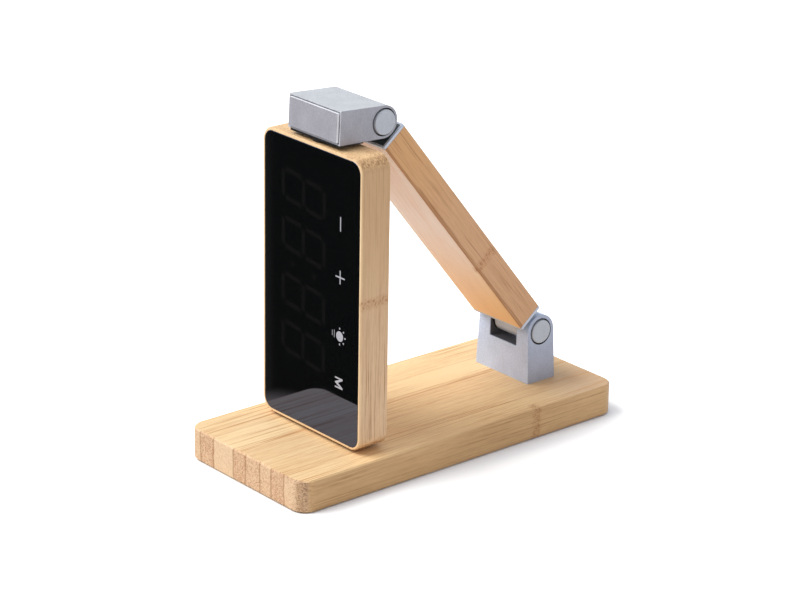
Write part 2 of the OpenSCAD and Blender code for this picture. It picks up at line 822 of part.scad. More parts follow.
// Box with a round nose: hollow behind its front plate, slotted for the barrel, bored for pin and shaft
module head_housing() {
    color("Silver")
    difference() {
        at_head()
            difference() {
                rotate([90, 0, 90])
                    linear_extrude(height = head_width, center = true)
                        head_outline();
                head_slot();
                cross_rod(pin_radius, 2 * head_width);
                for (side = [-1, 1]) {
                    side_disc(cap_radius + cap_gap, upper_cap_floor, head_width, side);
                }
                translate([0, -head_reach - overrun, head_front_rise / 2])
                    rotate([-90, 0, 0])
                        rounded_block(front_plate_width, front_plate_height, front_plate_recess + overrun,
                            front_plate_corner);
                translate([0, -head_reach - overrun, 0])
                    rotate([-90, 0, 0])
                        rounded_block(head_width - 2 * head_wall, head_height - 2 * head_wall,
                            head_hollow_depth + overrun, front_plate_corner);
            }
        swivel_seats();
    }
}

// Bore for the swivel shaft with a level seat under the head for the collar and one inside for the clip
module swivel_seats() {
    translate([0, panel_mid_y, panel_top]) {
        cylinder(r = shaft_radius + pin_clearance, h = clip_top - panel_top);
        cylinder(r = collar_radius + seat_room, h = collar_top - panel_top);
        translate([0, 0, clip_bottom - panel_top])
            cylinder(r = clip_radius + seat_room, h = clip_thickness);
    }
}

// Plate set into the front of the head, with a dark seam round it and a lip that fills the recess
module head_front_plate() {
    color("Silver")
    at_head()
        translate([0, -head_reach - front_plate_proud, head_front_rise / 2])
            rotate([-90, 0, 0]) {
                rounded_block(front_plate_width - 2 * front_plate_seam, front_plate_height - 2 * front_plate_seam,
                    front_plate_proud + front_plate_recess, front_plate_corner);
                translate([0, 0, front_plate_proud + front_plate_recess - front_plate_lip])
                    rounded_block(front_plate_width, front_plate_height, front_plate_lip, front_plate_corner);
            }
}

module upper_hinge_pin() {
    color("LightSlateGray")
    at_upper_hinge()
        cross_rod(pin_radius, 2 * upper_cap_floor);
}

module upper_pin_caps() {
    color("Silver")
    at_upper_hinge()
        for (side = [-1, 1]) {
            side_disc(cap_radius, upper_cap_floor, head_width / 2 + upper_cap_proud, side);
        }
}

// Ring that fills the gap between head and panel
module swivel_collar() {
    color("DarkSlateGray")
    translate([0, panel_mid_y, panel_top])
        difference() {
            cylinder(r = collar_radius, h = collar_top - panel_top);
            translate([0, 0, -overrun])
                cylinder(r = shaft_radius + pin_clearance, h = collar_top - panel_top + 2 * overrun);
        }
}

// Panel body: open at the front with a ledge for the glass, bosses inside and a hole for the shaft
module display_case() {
    color("BurlyWood")
    difference() {
        union() {
            difference() {
                translate([0, panel_back, panel_mid_z])
                    rotate([90, 0, 0])
                        bevelled_slab(panel_width, panel_height, panel_thickness, panel_corner_radius,
                            panel_edge_bevel);
                translate([0, panel_front - overrun, panel_mid_z])
                    rotate([-90, 0, 0])
                        rounded_block(glass_width, glass_height, glass_thickness + overrun, glass_corner);
                translate([0, panel_front - overrun, (cavity_top + cavity_bottom) / 2])
                    rotate([-90, 0, 0])
                        rounded_block(cavity_width, cavity_height, cavity_back - panel_front + overrun,
                            cavity_corner);
            }
            for (side = [-1, 1], end = [-1, 1]) {
                translate([side * board_screw_x, 0, main_board_mid_z + end * board_screw_z])
                    depth_rod(boss_radius, main_board_back, panel_back - panel_back_wall / 2);
            }
        }
        for (side = [-1, 1], end = [-1, 1]) {
            translate([side * board_screw_x, 0, main_board_mid_z + end * board_screw_z])
                depth_rod(small_screw_radius, main_board_back - overrun,
                    main_board_front - small_head_height + small_screw_length);
        }
        translate([0, panel_mid_y, cavity_top - overrun])
            cylinder(r = shaft_radius, h = panel_top_wall + 2 * overrun);
    }
}

// Glass flush with the front of the case
module front_glass() {
    color("Black")
    translate([0, panel_front, panel_mid_z])
        rotate([-90, 0, 0])
            rounded_block(glass_width - 2 * glass_gap, glass_height - 2 * glass_gap, glass_thickness,
                glass_corner - glass_gap);
}

// Solid box from a centre on the panel, its front face behind the glass
module panel_box(mid_x, mid_z, wide, tall, front, deep) {
    translate([mid_x - wide / 2, front, mid_z - tall / 2])
        cube([wide, deep, tall]);
}

// The seven bars of one digit lying on its side, tops towards the left
module digit_bars(deep) {
    for (row = [-1, 0, 1]) {
        panel_box(row * (digit_height - segment_width) / 2, 0, segment_width, bar_run, glass_back, deep);
    }
    for (half = [-1, 1], row = [-1, 1]) {
        panel_box(row * (digit_height - segment_width) / 4, half * (digit_width - segment_width) / 2,
            side_run, segment_width, glass_back, deep);
    }
}

// All four digits and the two colon dots
module all_bars(deep) {
    translate([-digit_left, 0, digit_mid_z]) {
        for (place = digit_half_shares) {
            translate([0, 0, place * digit_pitch + sign(place) * colon_space / 2])
                digit_bars(deep);
        }
        for (row = [-1, 1]) {
            translate([row * digit_height / 4, 0, 0])
                depth_rod(colon_radius, glass_back, glass_back + deep);
        }
    }
}

module digit_block() {
    color("DimGray")
    difference() {
        panel_box(-digit_left, digit_mid_z, digit_block_width, digit_block_height, glass_back,
            digit_block_depth);
        all_bars(segment_depth);
    }
}

module digit_segments() {
    color("LightGray")
    all_bars(segment_depth);
}

module touch_strip() {
    color("DarkGreen")
    panel_box(touch_right, touch_mid_z, touch_strip_width, touch_strip_length, glass_back,
        touch_strip_thickness);
}

module main_board() {
    color("ForestGreen")
    difference() {
        panel_box(0, main_board_mid_z, main_board_width, main_board_height, main_board_front,
            board_thickness);
        for (side = [-1, 1], end = [-1, 1]) {
            translate([side * board_screw_x, 0, main_board_mid_z + end * board_screw_z])
                depth_rod(small_screw_radius, main_board_front - overrun, main_board_back + overrun);
        }
    }
}

module board_screws() {
    color("Silver")
    for (side = [-1, 1], end = [-1, 1]) {
        translate([side * board_screw_x, main_board_front - small_head_height,
            main_board_mid_z + end * board_screw_z])
            rotate([-90, 0, 0])
                small_screw(small_screw_length);
    }
}

// Shallow cup on the board for the coin cell
module cell_holder() {
    color("DarkSlateGray")
    translate([cell_x, 0, low_parts_z])
        difference() {
            depth_rod(cell_radius + cell_gap + cell_holder_wall,
                main_board_front - cell_holder_floor - cell_thickness, main_board_front);
            depth_rod(cell_radius + cell_gap,
                main_board_front - cell_holder_floor - cell_thickness - overrun,
                main_board_front - cell_holder_floor);
        }
}

module backup_cell() {
    color("Silver")
    translate([cell_x, 0, low_parts_z])
        depth_rod(cell_radius, main_board_front - cell_holder_floor - cell_thickness,
            main_board_front - cell_holder_floor);
}

module buzzer() {
    color("Black")
    translate([buzzer_x, 0, low_parts_z])
        difference() {
            depth_rod(buzzer_radius, main_board_front - buzzer_height, main_board_front);
            depth_rod(buzzer_hole_radius, main_board_front - buzzer_height - overrun,
                main_board_front - buzzer_height / 2);
        }
}

// Hollow shaft: flange under the case's top wall, groove for the clip above the head's floor
module swivel_shaft() {
    color("LightSlateGray")
    translate([0, panel_mid_y, 0])
        difference() {
            union() {
                translate([0, 0, cavity_top - flange_thickness])
                    cylinder(r = flange_radius, h = flange_thickness);
                translate([0, 0, cavity_top - flange_thickness])
                    cylinder(r = shaft_radius, h = clip_top + shaft_tip - cavity_top + flange_thickness);
            }
            translate([0, 0, cavity_top - flange_thickness - overrun])
                cylinder(r = shaft_bore_radius, h = clip_top + shaft_tip - cavity_top + flange_thickness
                    + 2 * overrun);
            translate([0, 0, clip_bottom])
                difference() {
                    cylinder(r = shaft_radius + overrun, h = clip_thickness);
                    cylinder(r = shaft_radius - clip_grip, h = clip_thickness);
                }
        }
}

module swivel_clip() {
    color("Silver")
    translate([0, panel_mid_y, clip_bottom])
        difference() {
            cylinder(r = clip_radius, h = clip_thickness);
            translate([0, 0, -overrun])
                cylinder(r = shaft_radius - clip_grip + groove_room, h = clip_thickness + 2 * overrun);
        }
}

base_slab();
base_cover();
cover_screws();
rubber_feet();
charging_coil();
ferrite_shield();
power_board();
power_socket();
hinge_bracket();
bracket_screws();
lower_hinge_pin();
lower_pin_caps();
arm_bar();
lower_knuckle();
upper_knuckle();
knuckle_screws();
lower_washers();
upper_washers();
arm_cable();
head_housing();
head_front_plate();
upper_hinge_pin();
upper_pin_caps();
swivel_collar();
display_case();
front_glass();
digit_block();
digit_segments();
touch_strip();
main_board();
board_screws();
cell_holder();
backup_cell();
buzzer();
swivel_shaft();
swivel_clip();
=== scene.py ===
# %% [markdown]
# A folding desk clock in bamboo and satin metal.
#
# The real clock is a flat bamboo slab with a cast metal bracket near its rear end. A bamboo arm
# leans forward from the bracket to a metal head, and the head holds an upright bamboo panel whose
# front is one sheet of glossy black glass. The exact solids come from the CAD frame. This lesson
# gives them softened edges, real finishes, marks on the glass, and a plain studio to stand in.

# %% Load the frame
import json
import math

import bmesh
import bpy
from mathutils import Matrix, Vector


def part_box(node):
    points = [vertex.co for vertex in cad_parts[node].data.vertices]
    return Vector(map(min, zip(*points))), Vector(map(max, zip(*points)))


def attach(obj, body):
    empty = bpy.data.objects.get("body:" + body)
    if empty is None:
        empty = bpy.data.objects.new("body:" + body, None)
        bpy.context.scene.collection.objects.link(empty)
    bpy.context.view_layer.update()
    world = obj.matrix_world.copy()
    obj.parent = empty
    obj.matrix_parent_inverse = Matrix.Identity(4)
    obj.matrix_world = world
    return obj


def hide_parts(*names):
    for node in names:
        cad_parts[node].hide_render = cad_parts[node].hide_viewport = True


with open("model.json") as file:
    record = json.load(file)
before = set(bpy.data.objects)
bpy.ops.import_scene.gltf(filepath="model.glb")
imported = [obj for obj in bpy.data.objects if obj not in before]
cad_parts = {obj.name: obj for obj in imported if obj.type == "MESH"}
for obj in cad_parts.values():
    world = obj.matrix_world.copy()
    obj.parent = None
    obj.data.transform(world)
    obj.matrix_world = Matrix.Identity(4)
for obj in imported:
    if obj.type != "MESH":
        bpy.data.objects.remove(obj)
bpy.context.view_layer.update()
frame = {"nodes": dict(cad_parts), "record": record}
nodes = frame["nodes"]

# %% [markdown]
# Sizes are easiest to read in millimetres and colours in the numbers of a paint picker, but Blender
# works in metres and in linear light. Two tiny helpers make the change, so that every value below
# can be checked against a ruler or a picture.

# %% Units and colours
MM = 0.001


def tone(red, green, blue):
    """A picker's colour, 0 to 255, as the linear colour that Blender's sockets take."""
    def linear(value):
        value /= 255
        return value / 12.92 if value <= 0.04045 else ((value + 0.055) / 1.055) ** 2.4
    return (linear(red), linear(green), linear(blue), 1.0)


def short(values):
    return [round(value, 2) for value in values]


PANEL_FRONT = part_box("front_glass")[0][1]
PANEL_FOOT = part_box("display_case")[0][2]
CASE_MIDDLE = (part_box("display_case")[0][1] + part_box("display_case")[1][1]) / 2 / MM
print("glass front at y =", round(PANEL_FRONT / MM, 2), "mm,",
      "panel foot at z =", round(PANEL_FOOT / MM, 2), "mm")

# %% [markdown]
# A procedural finish is a formula drawn as boxes and wires. Written out node by node it hides its
# own idea, so this small class adds a node, sets it and wires it in one short call. What reads as
# w.times(a, b) below is one Math node in the tree.

# %% A short way to wire nodes
class Wiring:
    """Adds nodes to one node tree and joins them."""

    def __init__(self, tree):
        self.tree = tree

    def add(self, kind, plugs=None, **settings):
        """A new node with its settings made first and then its inputs plugged."""
        node = self.tree.nodes.new(kind)
        for name, value in settings.items():
            setattr(node, name, value)
        for socket, value in (plugs or {}).items():
            self.plug(node.inputs[socket], value)
        return node

    def plug(self, socket, value):
        if isinstance(value, bpy.types.NodeSocket):
            self.tree.links.new(value, socket)
        elif value is not None:
            socket.default_value = value

    def maths(self, operation, *values):
        return self.add("ShaderNodeMath", dict(enumerate(values)), operation=operation).outputs[0]

    def chain(self, operation, values):
        result = values[0]
        for value in values[1:]:
            result = self.maths(operation, result, value)
        return result

    def plus(self, *values):
        return self.chain("ADD", values)

    def times(self, *values):
        return self.chain("MULTIPLY", values)

    def minus(self, first, second):
        return self.maths("SUBTRACT", first, second)

    def larger(self, first, second):
        return self.maths("MAXIMUM", first, second)

    def size(self, value):
        return self.maths("ABSOLUTE", value)

    def swing(self, value, middle, strength):
        """How far a value lies from its middle, times a strength."""
        return self.times(self.minus(value, middle), strength)

    def vector(self, operation, first, second):
        plugs = {0: first, "Scale" if operation == "SCALE" else 1: second}
        node = self.add("ShaderNodeVectorMath", plugs, operation=operation)
        return node.outputs["Value" if operation == "DOT_PRODUCT" else "Vector"]

    def length(self, vector):
        return self.maths("SQRT", self.vector("DOT_PRODUCT", vector, vector))

    def join(self, x, y, z):
        return self.add("ShaderNodeCombineXYZ", {0: x, 1: y, 2: z}).outputs[0]

    def split(self, vector):
        return self.add("ShaderNodeSeparateXYZ", {0: vector}).outputs

    def turned(self, vector, angles, kind="POINT"):
        plugs = {"Vector": vector, "Rotation": angles}
        return self.add("ShaderNodeMapping", plugs, vector_type=kind).outputs[0]

    def ramp(self, value, low, high, start=0.0, end=1.0):
        """Start below the low value, end above the high one, and a smooth change between."""
        plugs = dict(enumerate((value, low, high, start, end)))
        return self.add("ShaderNodeMapRange", plugs, interpolation_type="SMOOTHSTEP").outputs[0]

    def within(self, value, edge, soft):
        """One below the edge and nothing above it."""
        return self.ramp(value, edge - soft, edge + soft, 1.0, 0.0)

    def blend(self, factor, first, second):
        plugs = {0: factor, 6: first, 7: second}
        return self.add("ShaderNodeMix", plugs, data_type="RGBA").outputs[2]

    def noise(self, vector, stretch, detail=2.0, roughness=0.5):
        stretched = self.add("ShaderNodeMapping", {"Vector": vector, "Scale": stretch}).outputs[0]
        plugs = {"Vector": stretched, "Scale": 1.0, "Detail": detail, "Roughness": roughness}
        return self.add("ShaderNodeTexNoise", plugs).outputs[0]

    def use(self, group, **values):
        plugs = {name.replace("_", " "): value for name, value in values.items()}
        return self.add("ShaderNodeGroup", plugs, node_tree=group).outputs


SURFACE = {"Color": "Color", "Roughness": "Float", "Height": "Float"}


def shader_group(name, inputs, outputs=SURFACE):
    """A new shader node group with named sockets, its wiring, and its two end nodes."""
    tree = bpy.data.node_groups.new(name, "ShaderNodeTree")
    for way, sockets in (("INPUT", inputs), ("OUTPUT", outputs)):
        for label, kind in sockets.items():
            tree.interface.new_socket(label, in_out=way, socket_type="NodeSocket" + kind)
    w = Wiring(tree)
    return tree, w, w.add("NodeGroupInput").outputs, w.add("NodeGroupOutput").inputs


print("wiring helper ready")

# %% [markdown]
# Bamboo is a bundle of straight fibres. Along the grain it shows fine streaks and short dark
# dashes, where the fibres end it shows small dark dots, and every hand's width the cane had a
# joint, which leaves a narrow band of darker specks. The fibres crowd together under the cane's
# skin, so a rounded corner near it shows a dense dark crust of dots. One group makes all of it from
# a position in millimetres whose Y runs along the grain, so slab, arm and panel share one wood and
# differ only in how they turn it and in their own colours.

# %% Bamboo as one shared node group
# Each pattern's pace across, along and through the grain in cycles a millimetre, then its detail
# and its roughness. A slow pace along the grain draws a pattern out into streaks.
GRAIN_PATTERNS = {
    "fibre": ((1.9, 0.05, 1.9), 3.0, 0.65),
    "fleck": ((1.7, 0.20, 1.7), 2.0, 0.6),
    "long lines": ((1.75, 0.011, 1.75), 2.0, 0.5),
    "short lines": ((2.3, 0.030, 2.3), 2.0, 0.6),
    "come and go": ((0.13, 0.014, 0.13), 2.0, 0.5),
    "cloud": ((0.05, 0.015, 0.05), 2.0, 0.5),
    "wobble": ((0.35, 0.0, 0.35), 1.0, 0.5),
    "specks": ((1.15, 0.75, 1.15), 3.0, 0.6),
    "mottle": ((0.55, 0.1, 0.9), 4.0, 0.7),
    "grit": ((1.6, 0.3, 1.6), 3.0, 0.75),
}
DOT_PACE = (1.3, 0.05, 1.3)
JOINT_BROWN, GLUE_BROWN = tone(166, 98, 48), tone(150, 94, 50)
DOT_BROWN, MOTTLE_TAN, CRUST_TAN = tone(148, 92, 62), tone(196, 146, 104), tone(190, 140, 96)
DARK_STRIP, PALE_STRIP = tone(184, 130, 88), tone(252, 228, 188)
STRIP_GRIT, CRUST_GRIT = tone(182, 118, 84), tone(112, 70, 40)


def make_bamboo():
    tree, w, source, sink = shader_group(
        "Bamboo",
        {"Millimetres": "Vector", "End grain": "Float", "Strip tone": "Float", "Seam": "Float",
         "Joint place": "Float", "Joint strength": "Float", "Lines": "Float", "Crust": "Float",
         "Pale": "Color", "Deep": "Color", "Ends": "Color"})
    place, strip_tone, crust = source["Millimetres"], source["Strip tone"], source["Crust"]
    pattern = {name: w.noise(place, *numbers) for name, numbers in GRAIN_PATTERNS.items()}

    # Streaks and dashes along the grain
    long_lines = w.ramp(pattern["long lines"], 0.53, 0.68)
    short_lines = w.ramp(pattern["short lines"], 0.55, 0.70)
    come_and_go = w.ramp(pattern["come and go"], 0.36, 0.60, 0.30, 1.15)
    lines = w.plus(w.times(long_lines, 0.62), w.times(short_lines, 0.6))
    lines = w.times(lines, come_and_go, source["Lines"])
    depth = w.plus(lines, w.swing(pattern["fibre"], 0.42, 0.95), w.swing(pattern["fleck"], 0.5, 0.45),
                   w.swing(strip_tone, 0.5, 0.7), w.swing(pattern["cloud"], 0.45, 0.45))
    side = w.blend(depth, source["Pale"], source["Deep"])

    # The cane's joint, a wavy band of specks across the grain
    wobble = w.swing(pattern["wobble"], 0.5, 4.0)
    from_joint = w.size(w.minus(w.plus(w.split(place)[1], wobble), source["Joint place"]))
    band = w.ramp(from_joint, 0.6, 3.2, 1.0, 0.0)
    specks = w.ramp(pattern["specks"], 0.50, 0.60)
    joint = w.times(source["Joint strength"], w.times(band, w.plus(w.times(specks, 0.75), 0.25)))
    side = w.blend(w.times(joint, 0.7), side, JOINT_BROWN)

    # Sawn ends: fibre dots, a blotchy ground, the strip's own tone, then the grit and the crust
    bundle = w.add("ShaderNodeTexVoronoi",
                   {"Vector": w.vector("MULTIPLY", place, DOT_PACE), "Scale": 1.0})
    dots = w.ramp(bundle.outputs["Distance"], 0.14, 0.46, 1.0, 0.0)
    dot_depth = w.ramp(strip_tone, 0.36, 0.7, 0.3, 0.85)
    ends = w.blend(w.times(dots, dot_depth), source["Ends"], DOT_BROWN)
    ends = w.blend(w.ramp(pattern["mottle"], 0.4, 0.7, 0.0, 0.3), ends, MOTTLE_TAN)
    strip_shift = w.swing(strip_tone, 0.5, 0.85)
    ends = w.blend(w.larger(strip_shift, 0.0), ends, DARK_STRIP)
    ends = w.blend(w.larger(w.times(strip_shift, -1.0), 0.0), ends, PALE_STRIP)
    ends = w.blend(w.times(crust, 0.35), ends, CRUST_TAN)
    grit = w.ramp(pattern["grit"], 0.44, 0.60)
    grit_depth = w.larger(w.times(crust, 0.55), w.ramp(strip_tone, 0.47, 0.68, 0.14, 0.42))
    ends = w.blend(w.times(grit, grit_depth), ends, w.blend(crust, STRIP_GRIT, CRUST_GRIT))
    colour = w.blend(w.larger(source["End grain"], crust), side, ends)

    glue = w.times(source["Seam"], w.plus(w.times(source["End grain"], 0.45), 0.04))
    w.plug(sink["Color"], w.blend(glue, colour, GLUE_BROWN))
    w.plug(sink["Roughness"], w.plus(w.times(pattern["fibre"], 0.16), 0.44))
    relief = w.minus(pattern["fibre"], w.times(lines, 0.6))
    w.plug(sink["Height"], w.minus(relief, w.times(glue, 0.6)))
    return tree


bamboo = make_bamboo()
print("bamboo group:", len(bamboo.nodes), "nodes")

# %% [markdown]
# The slab is glued from strips of unequal width, and each strip has its own tone. The widths were
# read off the front end of the real one. A second group takes the distance across the slab and
# gives back the tone of the strip there and a thin dark line at each joint. A constant colour ramp
# is the simplest table of steps that a material can hold.

# %% Glued strips
SLAB_WIDTH, ARM_THICK, CASE_THICK = 75.0, 13.0, 14.4
STRIP_EDGES = (8.8, 17.3, 30.6, 38.5, 48.0, 55.2, 63.4)
STRIP_TONES = (0.50, 0.64, 0.34, 0.68, 0.60, 0.54, 0.68, 0.50)
SEAM_FADE = (0.10, 0.75)
FAR_AWAY = 10.0


def make_strips(name, width, edges, tones):
    tree, w, source, sink = shader_group(
        name, {"Across": "Float"}, {"Strip tone": "Float", "Seam": "Float"})
    left = w.plus(source["Across"], width / 2)
    table = w.add("ShaderNodeValToRGB", {0: w.maths("DIVIDE", left, width)})
    steps = table.color_ramp
    steps.interpolation = "CONSTANT"
    steps.elements[0].color = (tones[0],) * 3 + (1,)
    steps.elements[1].position = edges[-1] / width
    steps.elements[1].color = (tones[-1],) * 3 + (1,)
    for edge, value in zip(edges[:-1], tones[1:-1]):
        steps.elements.new(edge / width).color = (value,) * 3 + (1,)
    nearest = FAR_AWAY
    for edge in edges:
        nearest = w.maths("MINIMUM", w.size(w.minus(left, edge)), nearest)
    w.plug(sink["Strip tone"], table.outputs[0])
    w.plug(sink["Seam"], w.ramp(nearest, *SEAM_FADE, 1.0, 0.0))
    return tree


slab_strips = make_strips("Slab strips", SLAB_WIDTH, STRIP_EDGES, STRIP_TONES)
arm_strips = make_strips("Arm strips", ARM_THICK, (3.1, 11.4), (0.42, 0.52, 1.45))
case_strips = make_strips("Case strips", CASE_THICK, (5.4, 10.2), (0.58, 0.50, 0.54))
print("strip tables:", len(STRIP_TONES), "strips across the slab")

# %% [markdown]
# Cast metal that has been blasted and lacquered is smooth at arm's length, but close up it has a
# fine sparkle, faint upright brushing and soft clouds where the blasting was uneven. Moulded
# plastic, rubber and circuit board have a finer, evener grit. Each group varies colour, roughness
# and height a little, and leaves the base colour to each part.

# %% Satin metal and moulded surfaces
TINTED = {"Millimetres": "Vector", "Tint": "Color", "Strength": "Float"}


def tinted(w, source, shade):
    """The part's own tint, a little paler or darker as the shade says."""
    return w.vector("SCALE", source["Tint"], w.plus(w.times(shade, source["Strength"]), 1.0))


def make_satin_metal():
    tree, w, source, sink = shader_group("Satin metal", TINTED)
    place = source["Millimetres"]
    sparkle = w.noise(place, (1.5, 1.5, 1.5), 4.0, 0.75)
    brushing = w.noise(place, (2.6, 2.6, 0.10), 2.0, 0.6)
    clouds = w.noise(place, (0.16, 0.16, 0.12), 2.0)
    shade = w.plus(w.swing(sparkle, 0.5, 0.95), w.swing(brushing, 0.5, 0.15), w.swing(clouds, 0.5, 0.35))
    w.plug(sink["Color"], tinted(w, source, shade))
    w.plug(sink["Roughness"], w.plus(w.times(sparkle, 0.14), 0.36))
    w.plug(sink["Height"], w.plus(sparkle, w.times(brushing, 0.6)))
    return tree


def make_moulded():
    tree, w, source, sink = shader_group("Moulded surface", TINTED)
    place = source["Millimetres"]
    grit = w.noise(place, (3.2, 3.2, 3.2), 3.0, 0.6)
    patches = w.noise(place, (0.2, 0.2, 0.2), 2.0)
    shade = w.plus(w.minus(grit, 0.5), w.minus(patches, 0.5))
    w.plug(sink["Color"], tinted(w, source, shade))
    w.plug(sink["Roughness"], w.plus(w.times(grit, 0.2), 0.45))
    w.plug(sink["Height"], grit)
    return tree


satin_metal = make_satin_metal()
moulded = make_moulded()
print("metal and plastic groups ready")

# %% [markdown]
# The clock's digits are dark when the power is off, yet a faint 88:88 shows through the glass where
# the bars lie behind it. The pattern is symmetric, so it needs no table of 28 bars: fold the glass
# about the colon, fold each digit about its own middle, and three small rectangles and a dot make
# the whole display. The digits lie on their sides and lean a little, as on the real panel.

# %% Ghost of the digits
DIGIT_MIDDLE = (-5.0, PANEL_FOOT / MM + 67.5)
DIGIT_SLANT = 0.124
DIGIT_TALL, DIGIT_WIDE, BAR, BAR_GAP = 28.0, 14.0, 2.0, 0.6
DIGIT_PITCH, COLON_SPACE, COLON_DOT = 20.4, 3.4, 1.1
PAIR_SOFT, BAR_SOFT, DOT_SOFT = 0.2, 0.12, 0.1


def make_digit_ghost():
    tree, w, source, sink = shader_group(
        "Digit ghost", {"Millimetres": "Vector"}, {"Mask": "Float"})
    across, _, height = w.split(source["Millimetres"])
    across = w.minus(across, DIGIT_MIDDLE[0])
    lean = w.times(across, DIGIT_SLANT)
    height = w.size(w.plus(w.minus(height, DIGIT_MIDDLE[1]), lean))
    across = w.size(across)
    from_pair = w.minus(height, COLON_SPACE / 2)
    inside = w.times(w.ramp(from_pair, 0.0, PAIR_SOFT),
                     w.ramp(w.minus(from_pair, 2 * DIGIT_PITCH), -PAIR_SOFT, 0.0, 1.0, 0.0))
    cell = w.maths("MODULO", w.larger(from_pair, 0.0), DIGIT_PITCH)
    cell = w.size(w.minus(cell, DIGIT_PITCH / 2))

    def bar(mid_across, mid_cell, wide, tall):
        """Soft-edged rectangle: one where both distances are inside its half sizes."""
        in_across = w.size(w.minus(across, mid_across))
        in_cell = w.size(w.minus(cell, mid_cell))
        return w.times(w.within(in_across, wide / 2, BAR_SOFT), w.within(in_cell, tall / 2, BAR_SOFT))

    run = DIGIT_WIDE - BAR - 2 * BAR_GAP
    side_run = DIGIT_TALL / 2 - 1.5 * BAR - 2 * BAR_GAP
    mask = w.larger(bar(0.0, 0.0, BAR, run), bar((DIGIT_TALL - BAR) / 2, 0.0, BAR, run))
    mask = w.larger(mask, bar((DIGIT_TALL - BAR) / 4, (DIGIT_WIDE - BAR) / 2, side_run, BAR))
    dot_across = w.minus(across, DIGIT_TALL / 4)
    from_dot = w.maths("SQRT", w.plus(w.maths("POWER", dot_across, 2.0), w.maths("POWER", height, 2.0)))
    w.plug(sink["Mask"], w.larger(w.times(mask, inside), w.within(from_dot, COLON_DOT, DOT_SOFT)))
    return tree


digit_ghost = make_digit_ghost()
print("digit ghost:", len(digit_ghost.nodes), "nodes for 28 bars and two dots")

# %% [markdown]
# Every finish below is one Principled shader fed by one of the groups. A helper builds the common
# part: object coordinates in millimetres, turned so that the pattern lies along the piece, the
# group, and a bump. What is the same all over, such as how metallic a finish is, is set straight on
# the shader.

# %% Bamboo finishes
BAMBOO_BUMP, BAMBOO_RELIEF = 0.2, 0.12 * MM
FINE_RELIEF = 0.05 * MM
# Painted shade for the panel's foot, where the slab would shade it.
FOOT_PAINTED_SHADE = tone(96, 64, 42)
ARM_LEAN = math.radians(39.1)
QUARTER = math.pi / 2
# The bar's middle, through its thickness and along its grain, in millimetres once it is turned
ARM_DEEP, ARM_MIDDLE = -69.97, 59.97
ARM_TURN, CASE_TURN = (-QUARTER - ARM_LEAN, 0, 0), (-QUARTER, 0, 0)
finishes = {}


def start_finish(name, turn=(0.0, 0.0, 0.0)):
    """A new material with its wiring, its shader, and the position in millimetres along the piece."""
    material = bpy.data.materials.new(name)
    material.use_nodes = True
    finishes[name] = material
    w = Wiring(material.node_tree)
    coordinates = w.add("ShaderNodeTexCoord").outputs
    w.facing = coordinates["Normal"]
    place = w.vector("SCALE", w.turned(coordinates["Object"], turn), 1 / MM)
    return w, material.node_tree.nodes["Principled BSDF"], place


def finish_surface(w, shader, outputs, bump, distance):
    w.plug(shader.inputs["Base Color"], outputs["Color"])
    w.plug(shader.inputs["Roughness"], outputs["Roughness"])
    plugs = {"Strength": bump, "Distance": distance, "Height": outputs["Height"]}
    w.plug(shader.inputs["Normal"], w.add("ShaderNodeBump", plugs).outputs[0])


def bamboo_finish(name, turn, strips, across, joint, pale, deep, ends, other, tone_shift_and_painted_shade, painted_light_drift=None,
                  lines=1.0, seams=1.0, foot_shade=0.0):
    """Bamboo whose grain is turned to Y.

    across: the axis that the strips are counted along, and their middle on it. joint: its place
    along the grain, and how far right it starts. ends: the tone of the sawn ends. other: a strip
    lies flat on one pair of faces and on edge on the other, which look different, so this is the
    second pair's axis and its two tones. aged: pale turns into this tone over a span along the
    grain and one across it; on the slab this is painted shade at the rear right of the top, the
    arm's sides turn a little warmer towards the head, and the panel gets darker upwards. drift:
    painted bounce light on the second pair, a paler tone along the grain alone. foot_shade: how
    strong the painted shade is on the rim at the panel's foot, where the slab would shade it.
    """
    w, shader, place = start_finish(name, turn)
    faces = w.split(w.turned(w.facing, turn, "VECTOR"))
    other_axis, other_pale, other_deep = other
    endwise = w.size(faces[1])
    on_other = w.ramp(w.size(faces[other_axis]), 0.5, 0.9)
    places = w.split(place)
    sway = w.swing(w.noise(place, (0.16, 0.05, 0.16), 2.0), 0.5, 1.8)
    strip = w.use(strips, Across=w.plus(w.minus(places[across[0]], across[1]), sway))
    crust = w.times(w.ramp(endwise, 0.90, 0.985, 1.0, 0.0), w.ramp(endwise, 0.30, 0.55),
                    w.ramp(places[0], 15.0, 25.0, 0.2, 1.0))
    span_along, span_across, shifted_pale = tone_shift_and_painted_shade
    tone_shift = w.times(w.ramp(places[1], *span_along), w.ramp(places[0], *span_across))
    pale = w.blend(tone_shift, pale, shifted_pale)
    if painted_light_drift:
        other_pale = w.blend(w.ramp(places[1], *painted_light_drift[:2]), other_pale, painted_light_drift[2])
    wood = w.use(bamboo, Millimetres=place, End_grain=w.ramp(endwise, 0.45, 0.80),
                 Strip_tone=w.ramp(on_other, 0.0, 1.0, strip["Strip tone"], 0.5),
                 Seam=w.times(strip["Seam"], seams), Joint_place=joint[0],
                 Joint_strength=w.ramp(places[0], joint[1] - 0.6, joint[1] + 0.6),
                 Lines=w.ramp(on_other, 0.0, 1.0, lines, lines * 0.6), Crust=crust,
                 Pale=w.blend(on_other, pale, other_pale), Deep=w.blend(on_other, deep, other_deep),
                 Ends=ends)
    surface = {label: wood[label] for label in SURFACE}
    # Painted shade on the rim at the panel's foot.
    if foot_shade:
        foot = w.ramp(places[1], PANEL_FOOT / MM + 0.02, PANEL_FOOT / MM + 0.12, foot_shade, 0.0)
        surface["Color"] = w.blend(foot, surface["Color"], FOOT_PAINTED_SHADE)
    finish_surface(w, shader, surface, BAMBOO_BUMP, BAMBOO_RELIEF)
    shader.inputs["Specular IOR Level"].default_value = 0.35


